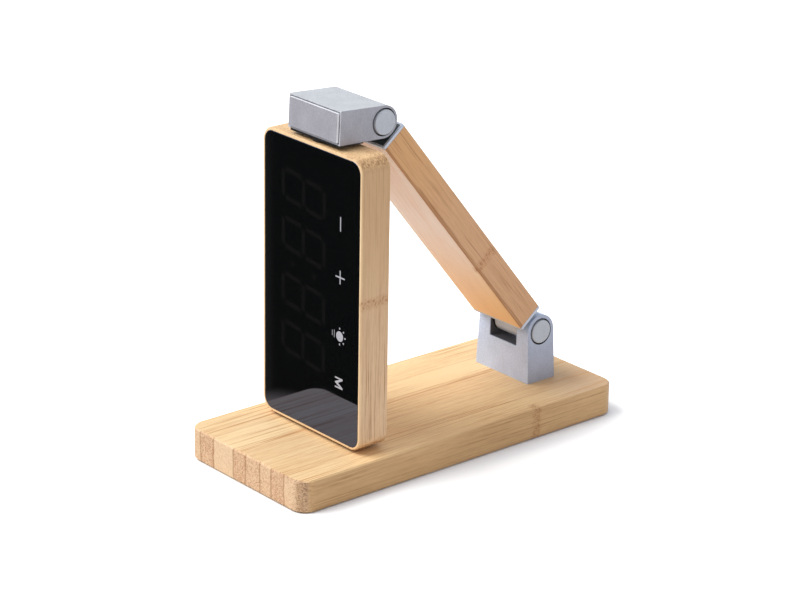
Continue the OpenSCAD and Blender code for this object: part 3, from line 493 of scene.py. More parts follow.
EVERYWHERE = (-50.0, -49.0)
bamboo_finish("base_bamboo", (0, 0, 0), slab_strips, (0, 0.0), (39.5, 33.4),
              tone(253, 221, 170), tone(204, 146, 90), tone(236, 203, 165),
              other=(0, tone(226, 186, 136), tone(170, 118, 74)),
              # On the slab this shift is painted shade at the rear right of the top.
              tone_shift_and_painted_shade=((40.0, 72.0), (-10.0, 20.0), tone(222, 190, 152)))
bamboo_finish("arm_bamboo", ARM_TURN, arm_strips, (2, ARM_DEEP), (40.5, 13.0),
              tone(224, 176, 134), tone(172, 118, 74), tone(214, 168, 122),
              other=(2, tone(252, 206, 150), tone(226, 172, 126)),
              tone_shift_and_painted_shade=((60.0, 110.0), EVERYWHERE, tone(226, 176, 124)),
              # The wide faces' drift is painted bounce light, paler towards the head.
              painted_light_drift=(5.0, 75.0, tone(255, 240, 231)), seams=0.0)
bamboo_finish("case_bamboo", CASE_TURN, case_strips, (2, -CASE_MIDDLE), (78.3, 30.0),
              tone(240, 205, 166), tone(178, 132, 94), tone(246, 210, 160),
              other=(2, tone(246, 214, 170), tone(206, 160, 114)),
              tone_shift_and_painted_shade=((20.0, 125.0), EVERYWHERE, tone(212, 174, 132)),
              lines=0.8, seams=0.0, foot_shade=0.75)
print("bamboo finishes:", [name for name in finishes])

# %% [markdown]
# A metal part isn't one grey all over. The bores round the pins, the slot, the head's underside
# and the knuckle plates get painted shade, the upright and side faces a lighter painted shade,
# and the front plate's rim a painted highlight. Each such place is a small formula on the
# position or the facing, measured in the piece's own square frame.

# %% Where the metal gets painted shade and highlight
def pin_middle(name):
    low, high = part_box(name)
    return (Vector(low) + Vector(high)) / 2 / MM


UPPER_PIN, LOWER_PIN = pin_middle("upper_hinge_pin"), pin_middle("lower_hinge_pin")
RING_RADIUS, RING_SOFT = 5.76, 0.03
SLOT_FACE, SLOT_HALF, SLOT_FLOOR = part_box("hinge_bracket")[0][1] / MM, 8.35, 29.0
PLATE_FACE = 61.43
RECESS_WIDE, RECESS_TALL = (14.1, 14.3), (5.5, 5.7)
RIM_INNER, RIM_OUTER = 0.66, 0.5
HEAD_PITCH = math.radians(2.6)


def head_frame_box(name):
    """A node's box in the head's own square frame, measured from the upper pin."""
    level = Matrix.Rotation(HEAD_PITCH, 3, "X")
    points = [level @ (vertex.co / MM - UPPER_PIN) for vertex in nodes[name].data.vertices]
    return [[pick(point[axis] for point in points) for axis in range(3)] for pick in (min, max)]


plate_low, plate_high = head_frame_box("head_front_plate")
PLATE_HALF, PLATE_TOP = plate_high[0], plate_high[2]
_, PLATE_BACK, HEAD_UNDER = head_frame_box("head_housing")[0]


# The round bore about each hinge pin gets painted shade.
def near_pin(w, place, pin, radius):
    """One inside a round bore about a hinge pin, which runs from side to side."""
    spot = w.vector("SUBTRACT", w.vector("MULTIPLY", place, (0, 1, 1)), (0, pin.y, pin.z))
    return w.within(w.length(spot), radius, RING_SOFT)


# Painted shade inside the bracket's slot.
def slot_inside(w, place):
    """One inside the bracket's slot, behind its front face and between its cheeks."""
    across, deep, height = w.split(place)
    behind = w.ramp(deep, SLOT_FACE + 0.55, SLOT_FACE + 0.9)
    between = w.ramp(w.size(across), SLOT_HALF + 0.02, SLOT_HALF + 0.06, 1.0, 0.0)
    above = w.ramp(height, SLOT_FLOOR - 0.06, SLOT_FLOOR - 0.02)
    return w.times(behind, w.times(between, above))


def plate_recess_shade(w, place):
    """One on the sunk middle of a knuckle plate, inside a narrow bright rim, where it gets painted
    shade.
    """
    across, along, thick = w.split(w.turned(place, ARM_TURN))
    outward = w.size(w.minus(along, ARM_MIDDLE))
    on_face = w.times(w.ramp(outward, PLATE_FACE - 0.06, PLATE_FACE - 0.03),
                      w.ramp(outward, PLATE_FACE + 0.5, PLATE_FACE + 0.9, 1.0, 0.0))
    inside = w.times(w.ramp(w.size(across), *RECESS_WIDE, 1.0, 0.0),
                     w.ramp(w.size(w.minus(thick, ARM_DEEP)), *RECESS_TALL, 1.0, 0.0))
    return w.times(on_face, inside)


def in_head(w, place):
    """The place turned about the upper pin, so that the head's own faces lie square."""
    return w.split(w.turned(w.vector("SUBTRACT", place, tuple(UPPER_PIN)), (HEAD_PITCH, 0, 0)))


def upright_painted_shade(w, place):
    """One on faces that stand upright, which get painted shade that makes them darker than the top."""
    return w.ramp(w.size(w.split(w.facing)[2]), 0.35, 0.75, 1.0, 0.0)


def side_painted_shade(w, place):
    """One on the two faces that look left and right, which get painted shade."""
    return w.ramp(w.size(w.split(w.facing)[0]), 0.7, 0.95)


def under_head_shade(w, place):
    """One on the head's underside, which gets painted shade."""
    _, deep, height = in_head(w, place)
    return w.times(w.ramp(height, HEAD_UNDER + 0.02, HEAD_UNDER + 0.1, 1.0, 0.0),
                   w.ramp(deep, -2.0, -1.0, 1.0, 0.0))


def plate_rim_highlight(w, place):
    """One on the rim of the head's front plate, which gets a painted highlight."""
    across, deep, height = in_head(w, place)
    on_plate = w.within(deep, PLATE_BACK, 0.02)
    side = w.ramp(w.size(across), PLATE_HALF - RIM_INNER, PLATE_HALF - RIM_OUTER)
    top = w.ramp(height, PLATE_TOP - RIM_INNER, PLATE_TOP - RIM_OUTER)
    return w.times(on_plate, w.larger(side, top))


print("front plate in the head's frame", short(plate_low), short(plate_high))
print("housing front and underside", short((PLATE_BACK, HEAD_UNDER)))
print("hinge pins at", short(UPPER_PIN), short(LOWER_PIN))

# %% [markdown]
# The metals and the plastics are two tables, one line for each finish. Bare steel and copper are
# fully metallic. The cast parts are lacquered, so they are mostly paint with a little metal in it.
# Black glass mirrors more strongly than clear glass would, with a cool cast, and its two blacks
# differ just enough for the digits to be guessed.

# %% Metals, plastics and glass
# Painted shade for pin bores, head underside, slot and knuckle plates; a painted highlight for the rim.
PAINTED_SHADE_BLACK, SLOT_PAINTED_SHADE, RECESS_PAINTED_SHADE = tone(24, 24, 28), tone(92, 92, 98), tone(42, 54, 60)
PAINTED_HIGHLIGHT = tone(240, 241, 246)

# Tint, strength of the pattern, how metallic, and other tones with the place where each one shows
# The other tones are painted shade, apart from the front plate's rim, which is a painted highlight.
METALS = {
    "bracket_metal": (tone(199, 215, 245), 0.75, 0.06,
                      [(tone(177, 186, 209), side_painted_shade), (SLOT_PAINTED_SHADE, slot_inside),
                       (PAINTED_SHADE_BLACK, near_pin, LOWER_PIN, RING_RADIUS)]),
    "head_metal": (tone(192, 197, 205), 0.9, 0.14,
                   [(tone(171, 170, 179), upright_painted_shade), (tone(160, 161, 173), side_painted_shade),
                    (PAINTED_SHADE_BLACK, near_pin, UPPER_PIN, RING_RADIUS), (PAINTED_SHADE_BLACK, under_head_shade),
                    (PAINTED_HIGHLIGHT, plate_rim_highlight)]),
    "cap_metal": (tone(183, 189, 200), 0.55, 0.14),
    "knuckle_metal": (tone(196, 205, 222), 0.55, 0.12, [(RECESS_PAINTED_SHADE, plate_recess_shade)]),
    "pin_steel": (tone(170, 172, 176), 0.3, 1.0),
    "screw_steel": (tone(188, 188, 190), 0.4, 1.0),
    "socket_steel": (tone(200, 200, 203), 0.3, 1.0),
    "cell_steel": (tone(205, 205, 200), 0.3, 1.0),
}
# Tint, strength of the pattern, and how metallic where it is at all
MOULDED = {
    "cover_plastic": (tone(58, 58, 60), 0.35),
    "feet_rubber": (tone(34, 34, 35), 0.3),
    "ferrite": (tone(70, 70, 74), 0.5),
    "board_green": (tone(28, 84, 50), 0.5),
    "washer_plastic": (tone(30, 30, 31), 0.3),
    "cable_jacket": (tone(22, 22, 23), 0.3),
    "collar_plastic": (tone(26, 26, 27), 0.3),
    "block_plastic": (tone(24, 24, 25), 0.3),
    "segment_plastic": (tone(176, 176, 184), 0.12),
    "holder_plastic": (tone(36, 36, 38), 0.3),
    "buzzer_plastic": (tone(20, 20, 21), 0.3),
    "coil_copper": (tone(186, 112, 72), 0.3, 1.0),
}
GLASS_BLACK, GHOST_BLACK = tone(12, 13, 12), tone(22, 22, 21)
GLASS_INDEX, GLASS_CAST = 2.5, (0.36, 0.49, 1.0, 1.0)


def tinted_finish(name, group, bump, tint, strength, metallic=0.0, other_tones=()):
    """One group in one tint, which takes another tone wherever one of the places says so."""
    w, shader, place = start_finish(name)
    for other, where, *numbers in other_tones:
        tint = w.blend(where(w, place, *numbers), tint, other)
    surface = w.use(group, Millimetres=place, Tint=tint, Strength=strength)
    finish_surface(w, shader, surface, bump, FINE_RELIEF)
    shader.inputs["Metallic"].default_value = metallic


def glass_finish(name):
    w, shader, place = start_finish(name)
    ghost = w.use(digit_ghost, Millimetres=place)["Mask"]
    smear = w.noise(place, (0.05, 0.05, 0.03), 2.0)
    w.plug(shader.inputs["Base Color"], w.blend(ghost, GLASS_BLACK, GHOST_BLACK))
    w.plug(shader.inputs["Roughness"], w.ramp(smear, 0.3, 0.8, 0.02, 0.05))
    shader.inputs["IOR"].default_value = GLASS_INDEX
    shader.inputs["Specular Tint"].default_value = GLASS_CAST


for group, bump, table in ((satin_metal, 0.10, METALS), (moulded, 0.15, MOULDED)):
    for name, numbers in table.items():
        tinted_finish(name, group, bump, *numbers)
glass_finish("black_glass")
print("finishes made:", len(finishes))

# %% [markdown]
# Each CAD solid is named by the finish it takes. The frame's own objects stay where they are and
# only their material changes.

# %% Dress the frame
slot_of = {part["node"]: part["material_slot"] for part in frame["record"]["subparts"]}
for name, thing in nodes.items():
    thing.data.materials.clear()
    thing.data.materials.append(finishes[slot_of[name]])
print("dressed", len(nodes), "nodes in", len(set(slot_of.values())), "finishes")

# %% [markdown]
# No real edge is perfectly sharp: a sanded or cast edge is a thin round strip that catches the
# light, and that line of light is what makes a shape look solid. The visible parts are copied,
# their flat faces joined up again, and a narrow bevel is run along every edge. The copy then stands
# for the CAD solid, inside the same outline.

# %% Softened edges
SAME_POINT = 0.002 * MM
FLAT_ANGLE, EDGE_ANGLE = math.radians(0.4), math.radians(32)
EDGE_WIDTHS = {
    "base_slab": 0.25, "display_case": 0.25, "arm_bar": 0.35, "hinge_bracket": 0.55,
    "head_housing": 0.35, "head_front_plate": 0.30, "lower_pin_caps": 0.40, "upper_pin_caps": 0.40,
    "lower_knuckle": 0.25, "upper_knuckle": 0.25, "front_glass": 0.18,
}


def body_of_node(name):
    bodies = frame["record"]["behaviour"]["bodies"]
    return next(body for body, members in bodies.items() if name in members)


def new_piece(name, mesh):
    piece = bpy.data.objects.new(name, mesh)
    bpy.context.scene.collection.objects.link(piece)
    return piece


def finished_mesh(piece):
    """The piece's mesh as its modifiers leave it."""
    bpy.context.view_layer.update()
    return bpy.data.meshes.new_from_object(piece.evaluated_get(bpy.context.evaluated_depsgraph_get()))


def soften(name, width):
    """A copy of a CAD node with its edges rounded, riding where the node rides."""
    mesh = nodes[name].data.copy()
    work = bmesh.new()
    work.from_mesh(mesh)
    bmesh.ops.remove_doubles(work, verts=work.verts, dist=SAME_POINT)
    bmesh.ops.dissolve_limit(work, angle_limit=FLAT_ANGLE, verts=work.verts, edges=work.edges,
                             delimit=set())
    work.to_mesh(mesh)
    work.free()
    mesh.shade_smooth()
    piece = new_piece(name + "_soft", mesh)
    bevel = piece.modifiers.new("round the edges", "BEVEL")
    bevel.width = width
    bevel.segments = 2
    bevel.limit_method = "ANGLE"
    bevel.angle_limit = EDGE_ANGLE
    bevel.use_clamp_overlap = True
    bevel.miter_outer = "MITER_ARC"
    evening = piece.modifiers.new("keep flat faces flat", "WEIGHTED_NORMAL")
    evening.mode = "FACE_AREA"
    evening.weight = 100
    evening.keep_sharp = True
    finished = finished_mesh(piece)
    piece.modifiers.clear()
    piece.data = finished
    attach(piece, body_of_node(name))
    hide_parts(name)
    return piece


softened = {name: soften(name, width * MM) for name, width in EDGE_WIDTHS.items()}
print("softened:", {name: len(piece.data.polygons) for name, piece in softened.items()})

# %% [markdown]
# Between the head and the panel lies one dark line. A dark sheet stuck under the head puts it
# there: painted shade, set in the gap where shade falls. It is a flat sheet with a hole for the
# collar. A sheet with a hole is a ring of faces: each ray from the hole's middle gives one point
# on the hole and one on the outline.

# %% Dark sheet under the head, for painted shade
SHADE_SHEET_HALF, SHADE_SHEET_THICK, SHADE_SHEET_EDGE, SHADE_SHEET_DEEP = 14.9, 0.95, 0.25, 12.6
SHEET_RAYS, HOLE_GAP, GLUE_GAP = 48, 0.3, 0.03


def close_piece(work, name, finish):
    """Turns the faces outwards and keeps the work as a piece with one finish."""
    bmesh.ops.recalc_face_normals(work, faces=work.faces)
    mesh = bpy.data.meshes.new(name)
    work.to_mesh(mesh)
    work.free()
    mesh.materials.append(finishes[finish])
    return new_piece(name, mesh)


def sheet_with_hole(name, finish, half_wide, front, rear, middle, hole, top, thickness, place):
    """A closed flat sheet in the head's square frame; place turns it into the clock's own."""
    corners = [(x, y) for x in (-half_wide, half_wide) for y in (front, rear)]
    angles = sorted([math.tau * i / SHEET_RAYS for i in range(SHEET_RAYS)]
                    + [math.atan2(y - middle, x) % math.tau for x, y in corners])
    work = bmesh.new()
    rings = []
    for height in (top, top - thickness):
        inner, outer = [], []
        for angle in angles:
            x, y = math.cos(angle), math.sin(angle)
            reaches = [half_wide / abs(x)] if abs(x) > 1e-6 else []
            if abs(y) > 1e-6:
                reaches.append(((rear if y > 0 else front) - middle) / y)
            far = min(reaches)
            inner.append(work.verts.new(place @ Vector((hole * x, middle + hole * y, height))))
            outer.append(work.verts.new(place @ Vector((far * x, middle + far * y, height))))
        rings.append((inner, outer))
    (top_in, top_out), (low_in, low_out) = rings
    for here in range(len(angles)):
        there = (here + 1) % len(angles)
        for a, b in ((top_in, top_out), (top_out, low_out), (low_out, low_in), (low_in, top_in)):
            work.faces.new((a[here], a[there], b[there], b[here]))
    return close_piece(work, name, finish)


collar_low, collar_high = head_frame_box("swivel_collar")
out_of_head = Matrix.Scale(MM, 4) @ Matrix.Translation(UPPER_PIN) @ Matrix.Rotation(-HEAD_PITCH, 4, "X")
# A dark sheet under the head: painted shade in the gap between head and panel.
shade_sheet = sheet_with_hole("painted_shade_sheet", "collar_plastic", SHADE_SHEET_HALF, PLATE_BACK + SHADE_SHEET_EDGE,
                      PLATE_BACK + SHADE_SHEET_EDGE + SHADE_SHEET_DEEP, (collar_low[1] + collar_high[1]) / 2,
                      collar_high[0] + HOLE_GAP, HEAD_UNDER + GLUE_GAP, SHADE_SHEET_THICK, out_of_head)
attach(shade_sheet, "head")

# %% [markdown]
# The touch marks are printed on the glass in pale ink. They are cut here as very thin plates, sunk
# into the glass so that only a few hundredths of a millimetre show. An outline drawn once in the
# plane of the panel is extruded backwards, which keeps a letter or a cross one clean closed solid.

# %% Marks on the glass
INK_PROUD, INK_SUNK = 0.02, 0.10
STROKE, LETTER_STROKE = 0.56, 0.62
MARK_ACROSS, LETTER_ACROSS = 18.2, 17.9
MINUS_UP, PLUS_UP, BULB_UP, LETTER_UP = 93.3, 71.2, 46.4, 26.4
MINUS_LONG, CROSS_ARM, BULB_RADIUS = 6.0, 2.85, 2.15
LETTER_HALF, LETTER_TALL = 2.3, 2.4


def ink(name, outlines):
    """Thin plates from outlines given in millimetres: across the panel and up from its foot."""
    work = bmesh.new()
    for outline in outlines:
        corners = [work.verts.new((across * MM, PANEL_FRONT - INK_PROUD * MM, PANEL_FOOT + up * MM))
                   for across, up in outline]
        face = work.faces.new(corners)
        raised = bmesh.ops.extrude_face_region(work, geom=[face])
        moved = [part for part in raised["geom"] if isinstance(part, bmesh.types.BMVert)]
        bmesh.ops.translate(work, verts=moved, vec=(0, (INK_PROUD + INK_SUNK) * MM, 0))
    return close_piece(work, name, "segment_plastic")


def box_outline(across, up, wide, tall):
    return [(across - wide / 2, up - tall / 2), (across + wide / 2, up - tall / 2),
            (across + wide / 2, up + tall / 2), (across - wide / 2, up + tall / 2)]


def cross_outline(arm, half):
    """A plus sign: the three corners of one arm, turned four times by a quarter."""
    corners, arm_corners = [], [(-half, -arm), (half, -arm), (half, -half)]
    for _ in range(4):
        corners += arm_corners
        arm_corners = [(-y, x) for x, y in arm_corners]
    return corners


def mirrored(points):
    return [(-x, y) for x, y in reversed(points)]


def letter_outline(half, tall, stem, notch=1.7, dip=1.9):
    """The letter M: its feet and inside from left to right, then back along the top.

    notch is how far below the top the inner corners lie, and dip how far above the feet the
    letter's middle stops.
    """
    inside = [(-half, -tall), (-half + stem, -tall), (-half + stem, tall - notch), (-stem * 0.3, -tall)]
    top = [(0, -tall + dip), (-half + stem * 1.1, tall), (-half, tall)]
    return inside + mirrored(inside) + mirrored(top)[:-1] + top


def round_outline(radius, corners=40):
    return [(radius * math.cos(a), radius * math.sin(a))
            for a in (math.tau * i / corners for i in range(corners))]


def sideways(points, across, up):
    """A figure drawn upright round its middle, laid on its side with its top to the right."""
    return [(across + v, up - u) for u, v in points]


marks = ink("touch_marks", [
    box_outline(MARK_ACROSS, MINUS_UP, STROKE, MINUS_LONG),
    sideways(cross_outline(CROSS_ARM, STROKE / 2), MARK_ACROSS, PLUS_UP),
    sideways(round_outline(BULB_RADIUS), MARK_ACROSS, BULB_UP),
    box_outline(MARK_ACROSS - 3.35, BULB_UP + 0.3, 0.26, 3.3),
    box_outline(MARK_ACROSS - 4.6, BULB_UP + 0.4, 0.26, 2.3),
    sideways(letter_outline(LETTER_HALF, LETTER_TALL, LETTER_STROKE), LETTER_ACROSS, LETTER_UP),
])
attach(marks, "display")
print("touch marks:", len(marks.data.polygons), "faces")

# %% [markdown]
# The light bulb's five rays repeat round a half circle, which is a rule and not a drawing. Geometry
# Nodes say the rule once: so many points, so far from the middle, spread over so wide a fan, with
# one short bar on each. Changing a number in the tree's inputs changes the mark.

# %% Bulb rays by a rule
SOCKET_KINDS = {int: "NodeSocketInt", float: "NodeSocketFloat", tuple: "NodeSocketVector"}


def grow(name, rule, numbers, body, slot, replaced=None):
    """Builds a tree by its rule, runs it on an empty object and keeps a plain mesh.

    The numbers become the tree's named inputs. Every tree ends the same way: real mesh, then its
    material.
    """
    tree = bpy.data.node_groups.new(name, "GeometryNodeTree")
    identifiers = {}
    for label, value in numbers.items():
        socket = tree.interface.new_socket(label, in_out="INPUT", socket_type=SOCKET_KINDS[type(value)])
        socket.default_value = value
        identifiers[label] = socket.identifier
    tree.interface.new_socket("Geometry", in_out="OUTPUT", socket_type="NodeSocketGeometry")
    w = Wiring(tree)
    made = rule(w, w.add("NodeGroupInput").outputs)
    real = w.add("GeometryNodeRealizeInstances", {"Geometry": made}).outputs["Geometry"]
    dressed = w.add("GeometryNodeSetMaterial", {"Geometry": real, "Material": finishes[slot]})
    w.plug(w.add("NodeGroupOutput").inputs["Geometry"], dressed.outputs["Geometry"])

    piece = new_piece(name, bpy.data.meshes.new(name))
    modifier = piece.modifiers.new("rule", "NODES")
    modifier.node_group = tree
    for label, value in numbers.items():
        modifier[identifiers[label]] = value
    mesh = finished_mesh(piece)
    piece.modifiers.remove(modifier)
    piece.data = mesh
    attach(piece, body)
    if replaced:
        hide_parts(replaced)
    return piece


def fan_of_rays(w, source):
    points = w.add("GeometryNodePoints", {"Count": source["Rays"]})
    index = w.add("GeometryNodeInputIndex").outputs[0]
    share = w.maths("DIVIDE", index, w.minus(source["Rays"], 1.0))
    angle = w.times(w.minus(share, 0.5), source["Fan"])
    spot = w.join(w.times(w.maths("COSINE", angle), source["Reach"]), None,
                  w.times(w.maths("SINE", angle), source["Reach"]))
    placed = w.add("GeometryNodeSetPosition", {
        "Geometry": points.outputs[0], "Position": w.vector("ADD", spot, source["Middle"])})
    bar = w.add("GeometryNodeMeshCube",
                {"Size": w.join(source["Length"], source["Depth"], source["Width"])})
    return w.add("GeometryNodeInstanceOnPoints", {
        "Points": placed.outputs[0], "Instance": bar.outputs["Mesh"],
        "Rotation": w.join(None, w.times(angle, -1.0), None)}).outputs[0]


ink_middle = PANEL_FRONT + (INK_SUNK - INK_PROUD) * MM / 2
sun_rays = grow("sun_rays", fan_of_rays, {
    "Rays": 5, "Fan": math.pi, "Reach": 3.35 * MM, "Length": 0.75 * MM, "Width": 0.6 * MM,
    "Depth": (INK_PROUD + INK_SUNK) * MM,
    "Middle": (MARK_ACROSS * MM, ink_middle, PANEL_FOOT + BULB_UP * MM),
}, "display", "segment_plastic")
print("bulb rays:", len(sun_rays.data.polygons), "faces")

# %% [markdown]
# Six small screws hold the cover, in two rows of three. Their cross recesses are what tells a screw
# from a rivet, so the rule makes one screw, cuts the cross out of its head, and sets it on every
# point of a grid.

# %% Cross-head screws in rows
def rows_of_screws(w, source):
    spread = w.split(source["Spread"])
    grid = w.add("GeometryNodeMeshGrid",
                 {"Vertices X": 2, "Vertices Y": 3, "Size X": spread[0], "Size Y": spread[1]})

    def round_bar(radius, start, end, sides):
        bar = w.add("GeometryNodeMeshCylinder",
                    {"Vertices": sides, "Radius": radius, "Depth": w.minus(end, start)})
        raised = w.join(None, None, w.times(w.plus(start, end), 0.5))
        return w.add("GeometryNodeTransform",
                     {"Geometry": bar.outputs["Mesh"], "Translation": raised}).outputs[0]

    head = round_bar(source["Head"], 0.0, source["Head thick"], 32)
    cut = w.add("GeometryNodeMeshBoolean", {"Mesh 1": head}, operation="DIFFERENCE", solver="EXACT")
    long, wide, deep = w.split(source["Cross"])
    twice = w.times(deep, 2.0)
    for across, along in ((long, wide), (wide, long)):
        slot_bar = w.add("GeometryNodeMeshCube", {"Size": w.join(across, along, twice)})
        w.plug(cut.inputs["Mesh 2"], slot_bar.outputs["Mesh"])
    screw = w.add("GeometryNodeJoinGeometry", {0: cut.outputs["Mesh"]})
    behind_cross = w.times(source["Head thick"], 0.9)
    w.plug(screw.inputs[0], round_bar(source["Shank"], behind_cross, source["Long"], 16))
    put = w.add("GeometryNodeInstanceOnPoints",
                {"Points": grid.outputs["Mesh"], "Instance": screw.outputs[0]})
    return w.add("GeometryNodeTransform",
                 {"Geometry": put.outputs[0], "Translation": source["Middle"]}).outputs[0]


screws_low, screws_high = (Vector(corner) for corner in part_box("cover_screws"))
SCREW_HEAD, SCREW_HEAD_THICK, SCREW_SHANK = 2 * MM, 0.9 * MM, 1.0 * MM
screws_span = screws_high - screws_low
cover_screws = grow("cross_head_screws", rows_of_screws, {
    "Spread": (screws_span.x - 2 * SCREW_HEAD, screws_span.y - 2 * SCREW_HEAD, 0.0),
    "Middle": (0.0, 0.0, screws_low.z), "Head": SCREW_HEAD, "Head thick": SCREW_HEAD_THICK,
    "Shank": SCREW_SHANK, "Long": screws_span.z, "Cross": (2.4 * MM, 0.5 * MM, 0.55 * MM),
}, "base", "screw_steel", "cover_screws")
print("cross-head screws:", len(cover_screws.data.polygons), "faces")

# %% [markdown]
# The coil under the slab's skin is a flat spiral of wire, again a rule: a spiral curve given a round
# section. It is hidden in use, but it is a real piece and it should look like one when the cover
# comes off.

# %% Wound coil
COIL_TURNS, COIL_INSIDE = 7.0, 9.0 * MM
WIRE_SHARE = 0.98


def flat_spiral(w, source):
    spiral = w.add("GeometryNodeCurveSpiral", {
        "Resolution": 40, "Rotations": source["Turns"], "Start Radius": source["Inner"],
        "End Radius": source["Outer"], "Height": 0.0})
    section = w.add("GeometryNodeCurvePrimitiveCircle", {"Resolution": 8, "Radius": source["Wire"]})
    wire = w.add("GeometryNodeCurveToMesh", {
        "Curve": spiral.outputs[0], "Profile Curve": section.outputs[0], "Fill Caps": True})
    return w.add("GeometryNodeTransform",
                 {"Geometry": wire.outputs[0], "Translation": source["Middle"]}).outputs[0]


coil_low, coil_high = (Vector(corner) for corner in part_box("charging_coil"))
coil_wire = (coil_high.z - coil_low.z) / 2 * WIRE_SHARE
coil = grow("wound_coil", flat_spiral, {
    "Turns": COIL_TURNS, "Inner": COIL_INSIDE + coil_wire,
    "Outer": (coil_high.x - coil_low.x) / 2 - coil_wire, "Wire": coil_wire,
    "Middle": tuple((coil_low + coil_high) / 2)}, "base", "coil_copper", "charging_coil")
print("wound coil:", len(coil.data.polygons), "faces")

# %% [markdown]
# The studio: a pale floor, one soft key light high on the front left, and an even sky. In the
# photograph the surroundings are pure white, so the floor and the sky show white to the camera and
# in reflections, while the light that falls on the clock stays at a level where a colour comes out
# as it was written. The floor keeps only the narrow shadow where the slab almost touches it.

# %% Floor
SKY_LIGHT = 0.5
PAPER = (0.85, 0.85, 0.85, 1)
WHITE = (1, 1, 1, 1)
FLOOR_HALF = 3.0
SHADOW_REACH = 36 * MM
SHADOW_POWERS = (3.1, 2.6, 2.0)


def seen_white(w):
    """One for rays that show the background: camera, mirror-like and see-through rays."""
    path = w.add("ShaderNodeLightPath").outputs
    return w.larger(path["Is Camera Ray"], w.larger(path["Is Glossy Ray"], path["Is Transmission Ray"]))


def lay(name, corners, faces):
    """A plain sheet of the studio, never part of the clock."""
    mesh = bpy.data.meshes.new(name)
    mesh.from_pydata(corners, [], faces)
    sheet = new_piece(name, mesh)
    material = bpy.data.materials.new(name + "_paper")
    material.use_nodes = True
    mesh.materials.append(material)
    return sheet, Wiring(material.node_tree)


floor_corners = [(x * FLOOR_HALF, y * FLOOR_HALF, 0) for x, y in ((-1, -1), (1, -1), (1, 1), (-1, 1))]
floor, w = lay("floor", floor_corners, [(0, 1, 2, 3)])
w.tree.nodes.clear()
shown = seen_white(w)
paper = w.add("ShaderNodeBsdfDiffuse", {"Color": w.blend(shown, PAPER, WHITE)})
# Painted shadow: an occlusion measure darkens the floor's glow near the slab, each colour by its own
# power, on top of the real shadow in the paper.
closeness = w.add("ShaderNodeAmbientOcclusion", {"Distance": SHADOW_REACH}, samples=16).outputs["AO"]
shadow = w.add("ShaderNodeCombineColor", {
    channel: w.maths("POWER", closeness, power) for channel, power in enumerate(SHADOW_POWERS)})
glow_with_painted_shadow = w.add("ShaderNodeEmission", {
    "Color": w.vector("SCALE", shadow.outputs[0], 1.0 - SKY_LIGHT), "Strength": shown})
both = w.add("ShaderNodeAddShader", {0: paper.outputs[0], 1: glow_with_painted_shadow.outputs[0]})
w.add("ShaderNodeOutputMaterial", {0: both.outputs[0]})
print("floor laid,", FLOOR_HALF * 2, "m across")

# %% [markdown]
# Black glass is only black if it has something black to mirror. A photographer lays a dark card in
# front of it, out of the picture, and so does this studio: only reflections can see it. The card
# has a pale patch beside the slab, a painted reflection that puts the soft grey gleam in the
# glass's lower left corner, and a paler strip along one side, a painted reflection that gives the
# glass its faint grey left edge.

# %% Dark card
CARD_HALF, CARD_RIGHT, CARD_NEAR, CARD_FAR, CARD_TALL = 0.9, 0.25, -0.02, -0.9, 0.8
CARD_LIFT = 0.2 * MM
CARD_BLACK, CARD_REFLECTION_TONE = tone(12, 12, 14), (1.0, 0.74, 0.46, 1)
PALE_SPOT, PALE_REACH, PALE_DEPTH = (-0.052, -0.066, 0.0), (0.010, 0.034), 0.7
GLASS_EDGE, REFLECTION_SIDE = (-0.0305, -0.0511, 0.0), (0.6105, -0.792, 0.0)
REFLECTION_REACH, REFLECTION_DEPTH = (-0.0005, 0.0056), 0.07
card, w = lay("dark_card",
              [(-CARD_HALF, CARD_NEAR, CARD_LIFT), (CARD_RIGHT, CARD_NEAR, CARD_LIFT),
               (CARD_HALF, CARD_FAR, CARD_LIFT), (-CARD_HALF, CARD_FAR, CARD_LIFT),
               (-CARD_HALF, CARD_FAR, CARD_TALL), (CARD_HALF, CARD_FAR, CARD_TALL)],
              [(0, 3, 2, 1), (3, 4, 5, 2)])
on_card = w.add("ShaderNodeTexCoord").outputs["Object"]
from_spot = w.length(w.vector("SUBTRACT", on_card, PALE_SPOT))
beside = w.vector("DOT_PRODUCT", w.vector("SUBTRACT", on_card, GLASS_EDGE), REFLECTION_SIDE)
# Painted reflections: a pale patch beside the slab and a paler strip along one side.
painted_reflection = w.larger(w.ramp(from_spot, *PALE_REACH, PALE_DEPTH, 0.0),
                w.ramp(beside, *REFLECTION_REACH, REFLECTION_DEPTH, 0.0))
card_shader = w.tree.nodes["Principled BSDF"].inputs
w.plug(card_shader["Base Color"], w.blend(painted_reflection, CARD_BLACK, CARD_REFLECTION_TONE))
card_shader["Roughness"].default_value = 1.0
card_shader["Specular IOR Level"].default_value = 0.0
for ray in ("camera", "diffuse", "transmission", "volume_scatter", "shadow"):
    setattr(card, "visible_" + ray, False)
print("dark card in front, seen by reflections alone")

# %% [markdown]
# An even sky lights every side a little, and shows pure white where a ray looks straight at it. The
# key light is wide, so the panel's shadow on the slab has the soft edge that it has in the
# photograph.

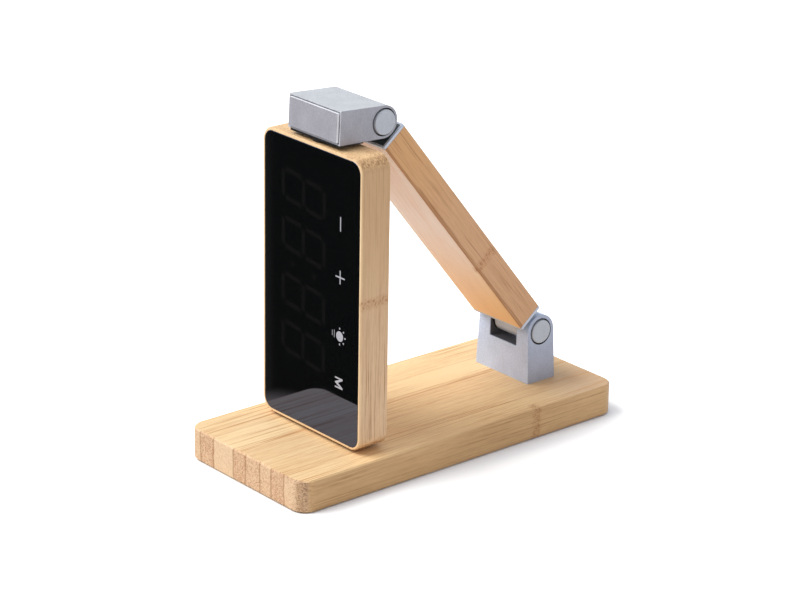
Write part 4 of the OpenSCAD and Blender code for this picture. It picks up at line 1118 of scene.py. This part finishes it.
# %% Sky and key light
KEY_STRENGTH, KEY_ANGLE = 2.55, math.radians(40)
KEY_FROM = Vector((-0.42, -0.66, 1.0))
world = bpy.data.worlds.new("studio")
bpy.context.scene.world = world
world.use_nodes = True
w = Wiring(world.node_tree)
sky = world.node_tree.nodes["Background"]
sky.inputs["Color"].default_value = WHITE
w.plug(sky.inputs["Strength"], w.ramp(seen_white(w), 0.0, 1.0, SKY_LIGHT, 1.0))

key = bpy.data.lights.new("key", "SUN")
key.energy = KEY_STRENGTH
key.angle = KEY_ANGLE
lamp = new_piece("key", key)
lamp.matrix_world = KEY_FROM.to_track_quat("Z", "Y").to_matrix().to_4x4()
print("key light", KEY_STRENGTH, "W/m2, sky", SKY_LIGHT)

# %% [markdown]
# The camera was worked out from the photograph's straight edges: three sets of parallel lines fix
# where it stood and how long its lens was. It leans by about one degree, which is kept.

# %% Camera
AZIMUTH, ELEVATION, ROLL = (math.radians(angle) for angle in (49.48, 20.74, 0.971))
TARGET = Vector((0.6, -5.0, 61.1)) * MM
DISTANCE = 1173.9 * MM
SENSOR, LENS_PIXELS, PICTURE_WIDTH = 36.0, 2869.2, 800
back = Vector((math.sin(AZIMUTH) * math.cos(ELEVATION), -math.cos(AZIMUTH) * math.cos(ELEVATION),
               math.sin(ELEVATION)))
right = Vector((math.cos(AZIMUTH), math.sin(AZIMUTH), 0.0))
up = back.cross(right)
lens_right = math.cos(ROLL) * right + math.sin(ROLL) * up
lens_up = -math.sin(ROLL) * right + math.cos(ROLL) * up
camera_data = bpy.data.cameras.new("camera")
camera_data.sensor_width = SENSOR
camera_data.lens = SENSOR * LENS_PIXELS / PICTURE_WIDTH
camera = new_piece("camera", camera_data)
turn = Matrix((lens_right, lens_up, back)).transposed().to_4x4()
camera.matrix_world = Matrix.Translation(TARGET + back * DISTANCE) @ turn
bpy.context.scene.camera = camera
bpy.context.scene.view_settings.view_transform = "Standard"
print("camera", [round(value, 3) for value in camera.location], "lens", round(camera_data.lens, 1), "mm")
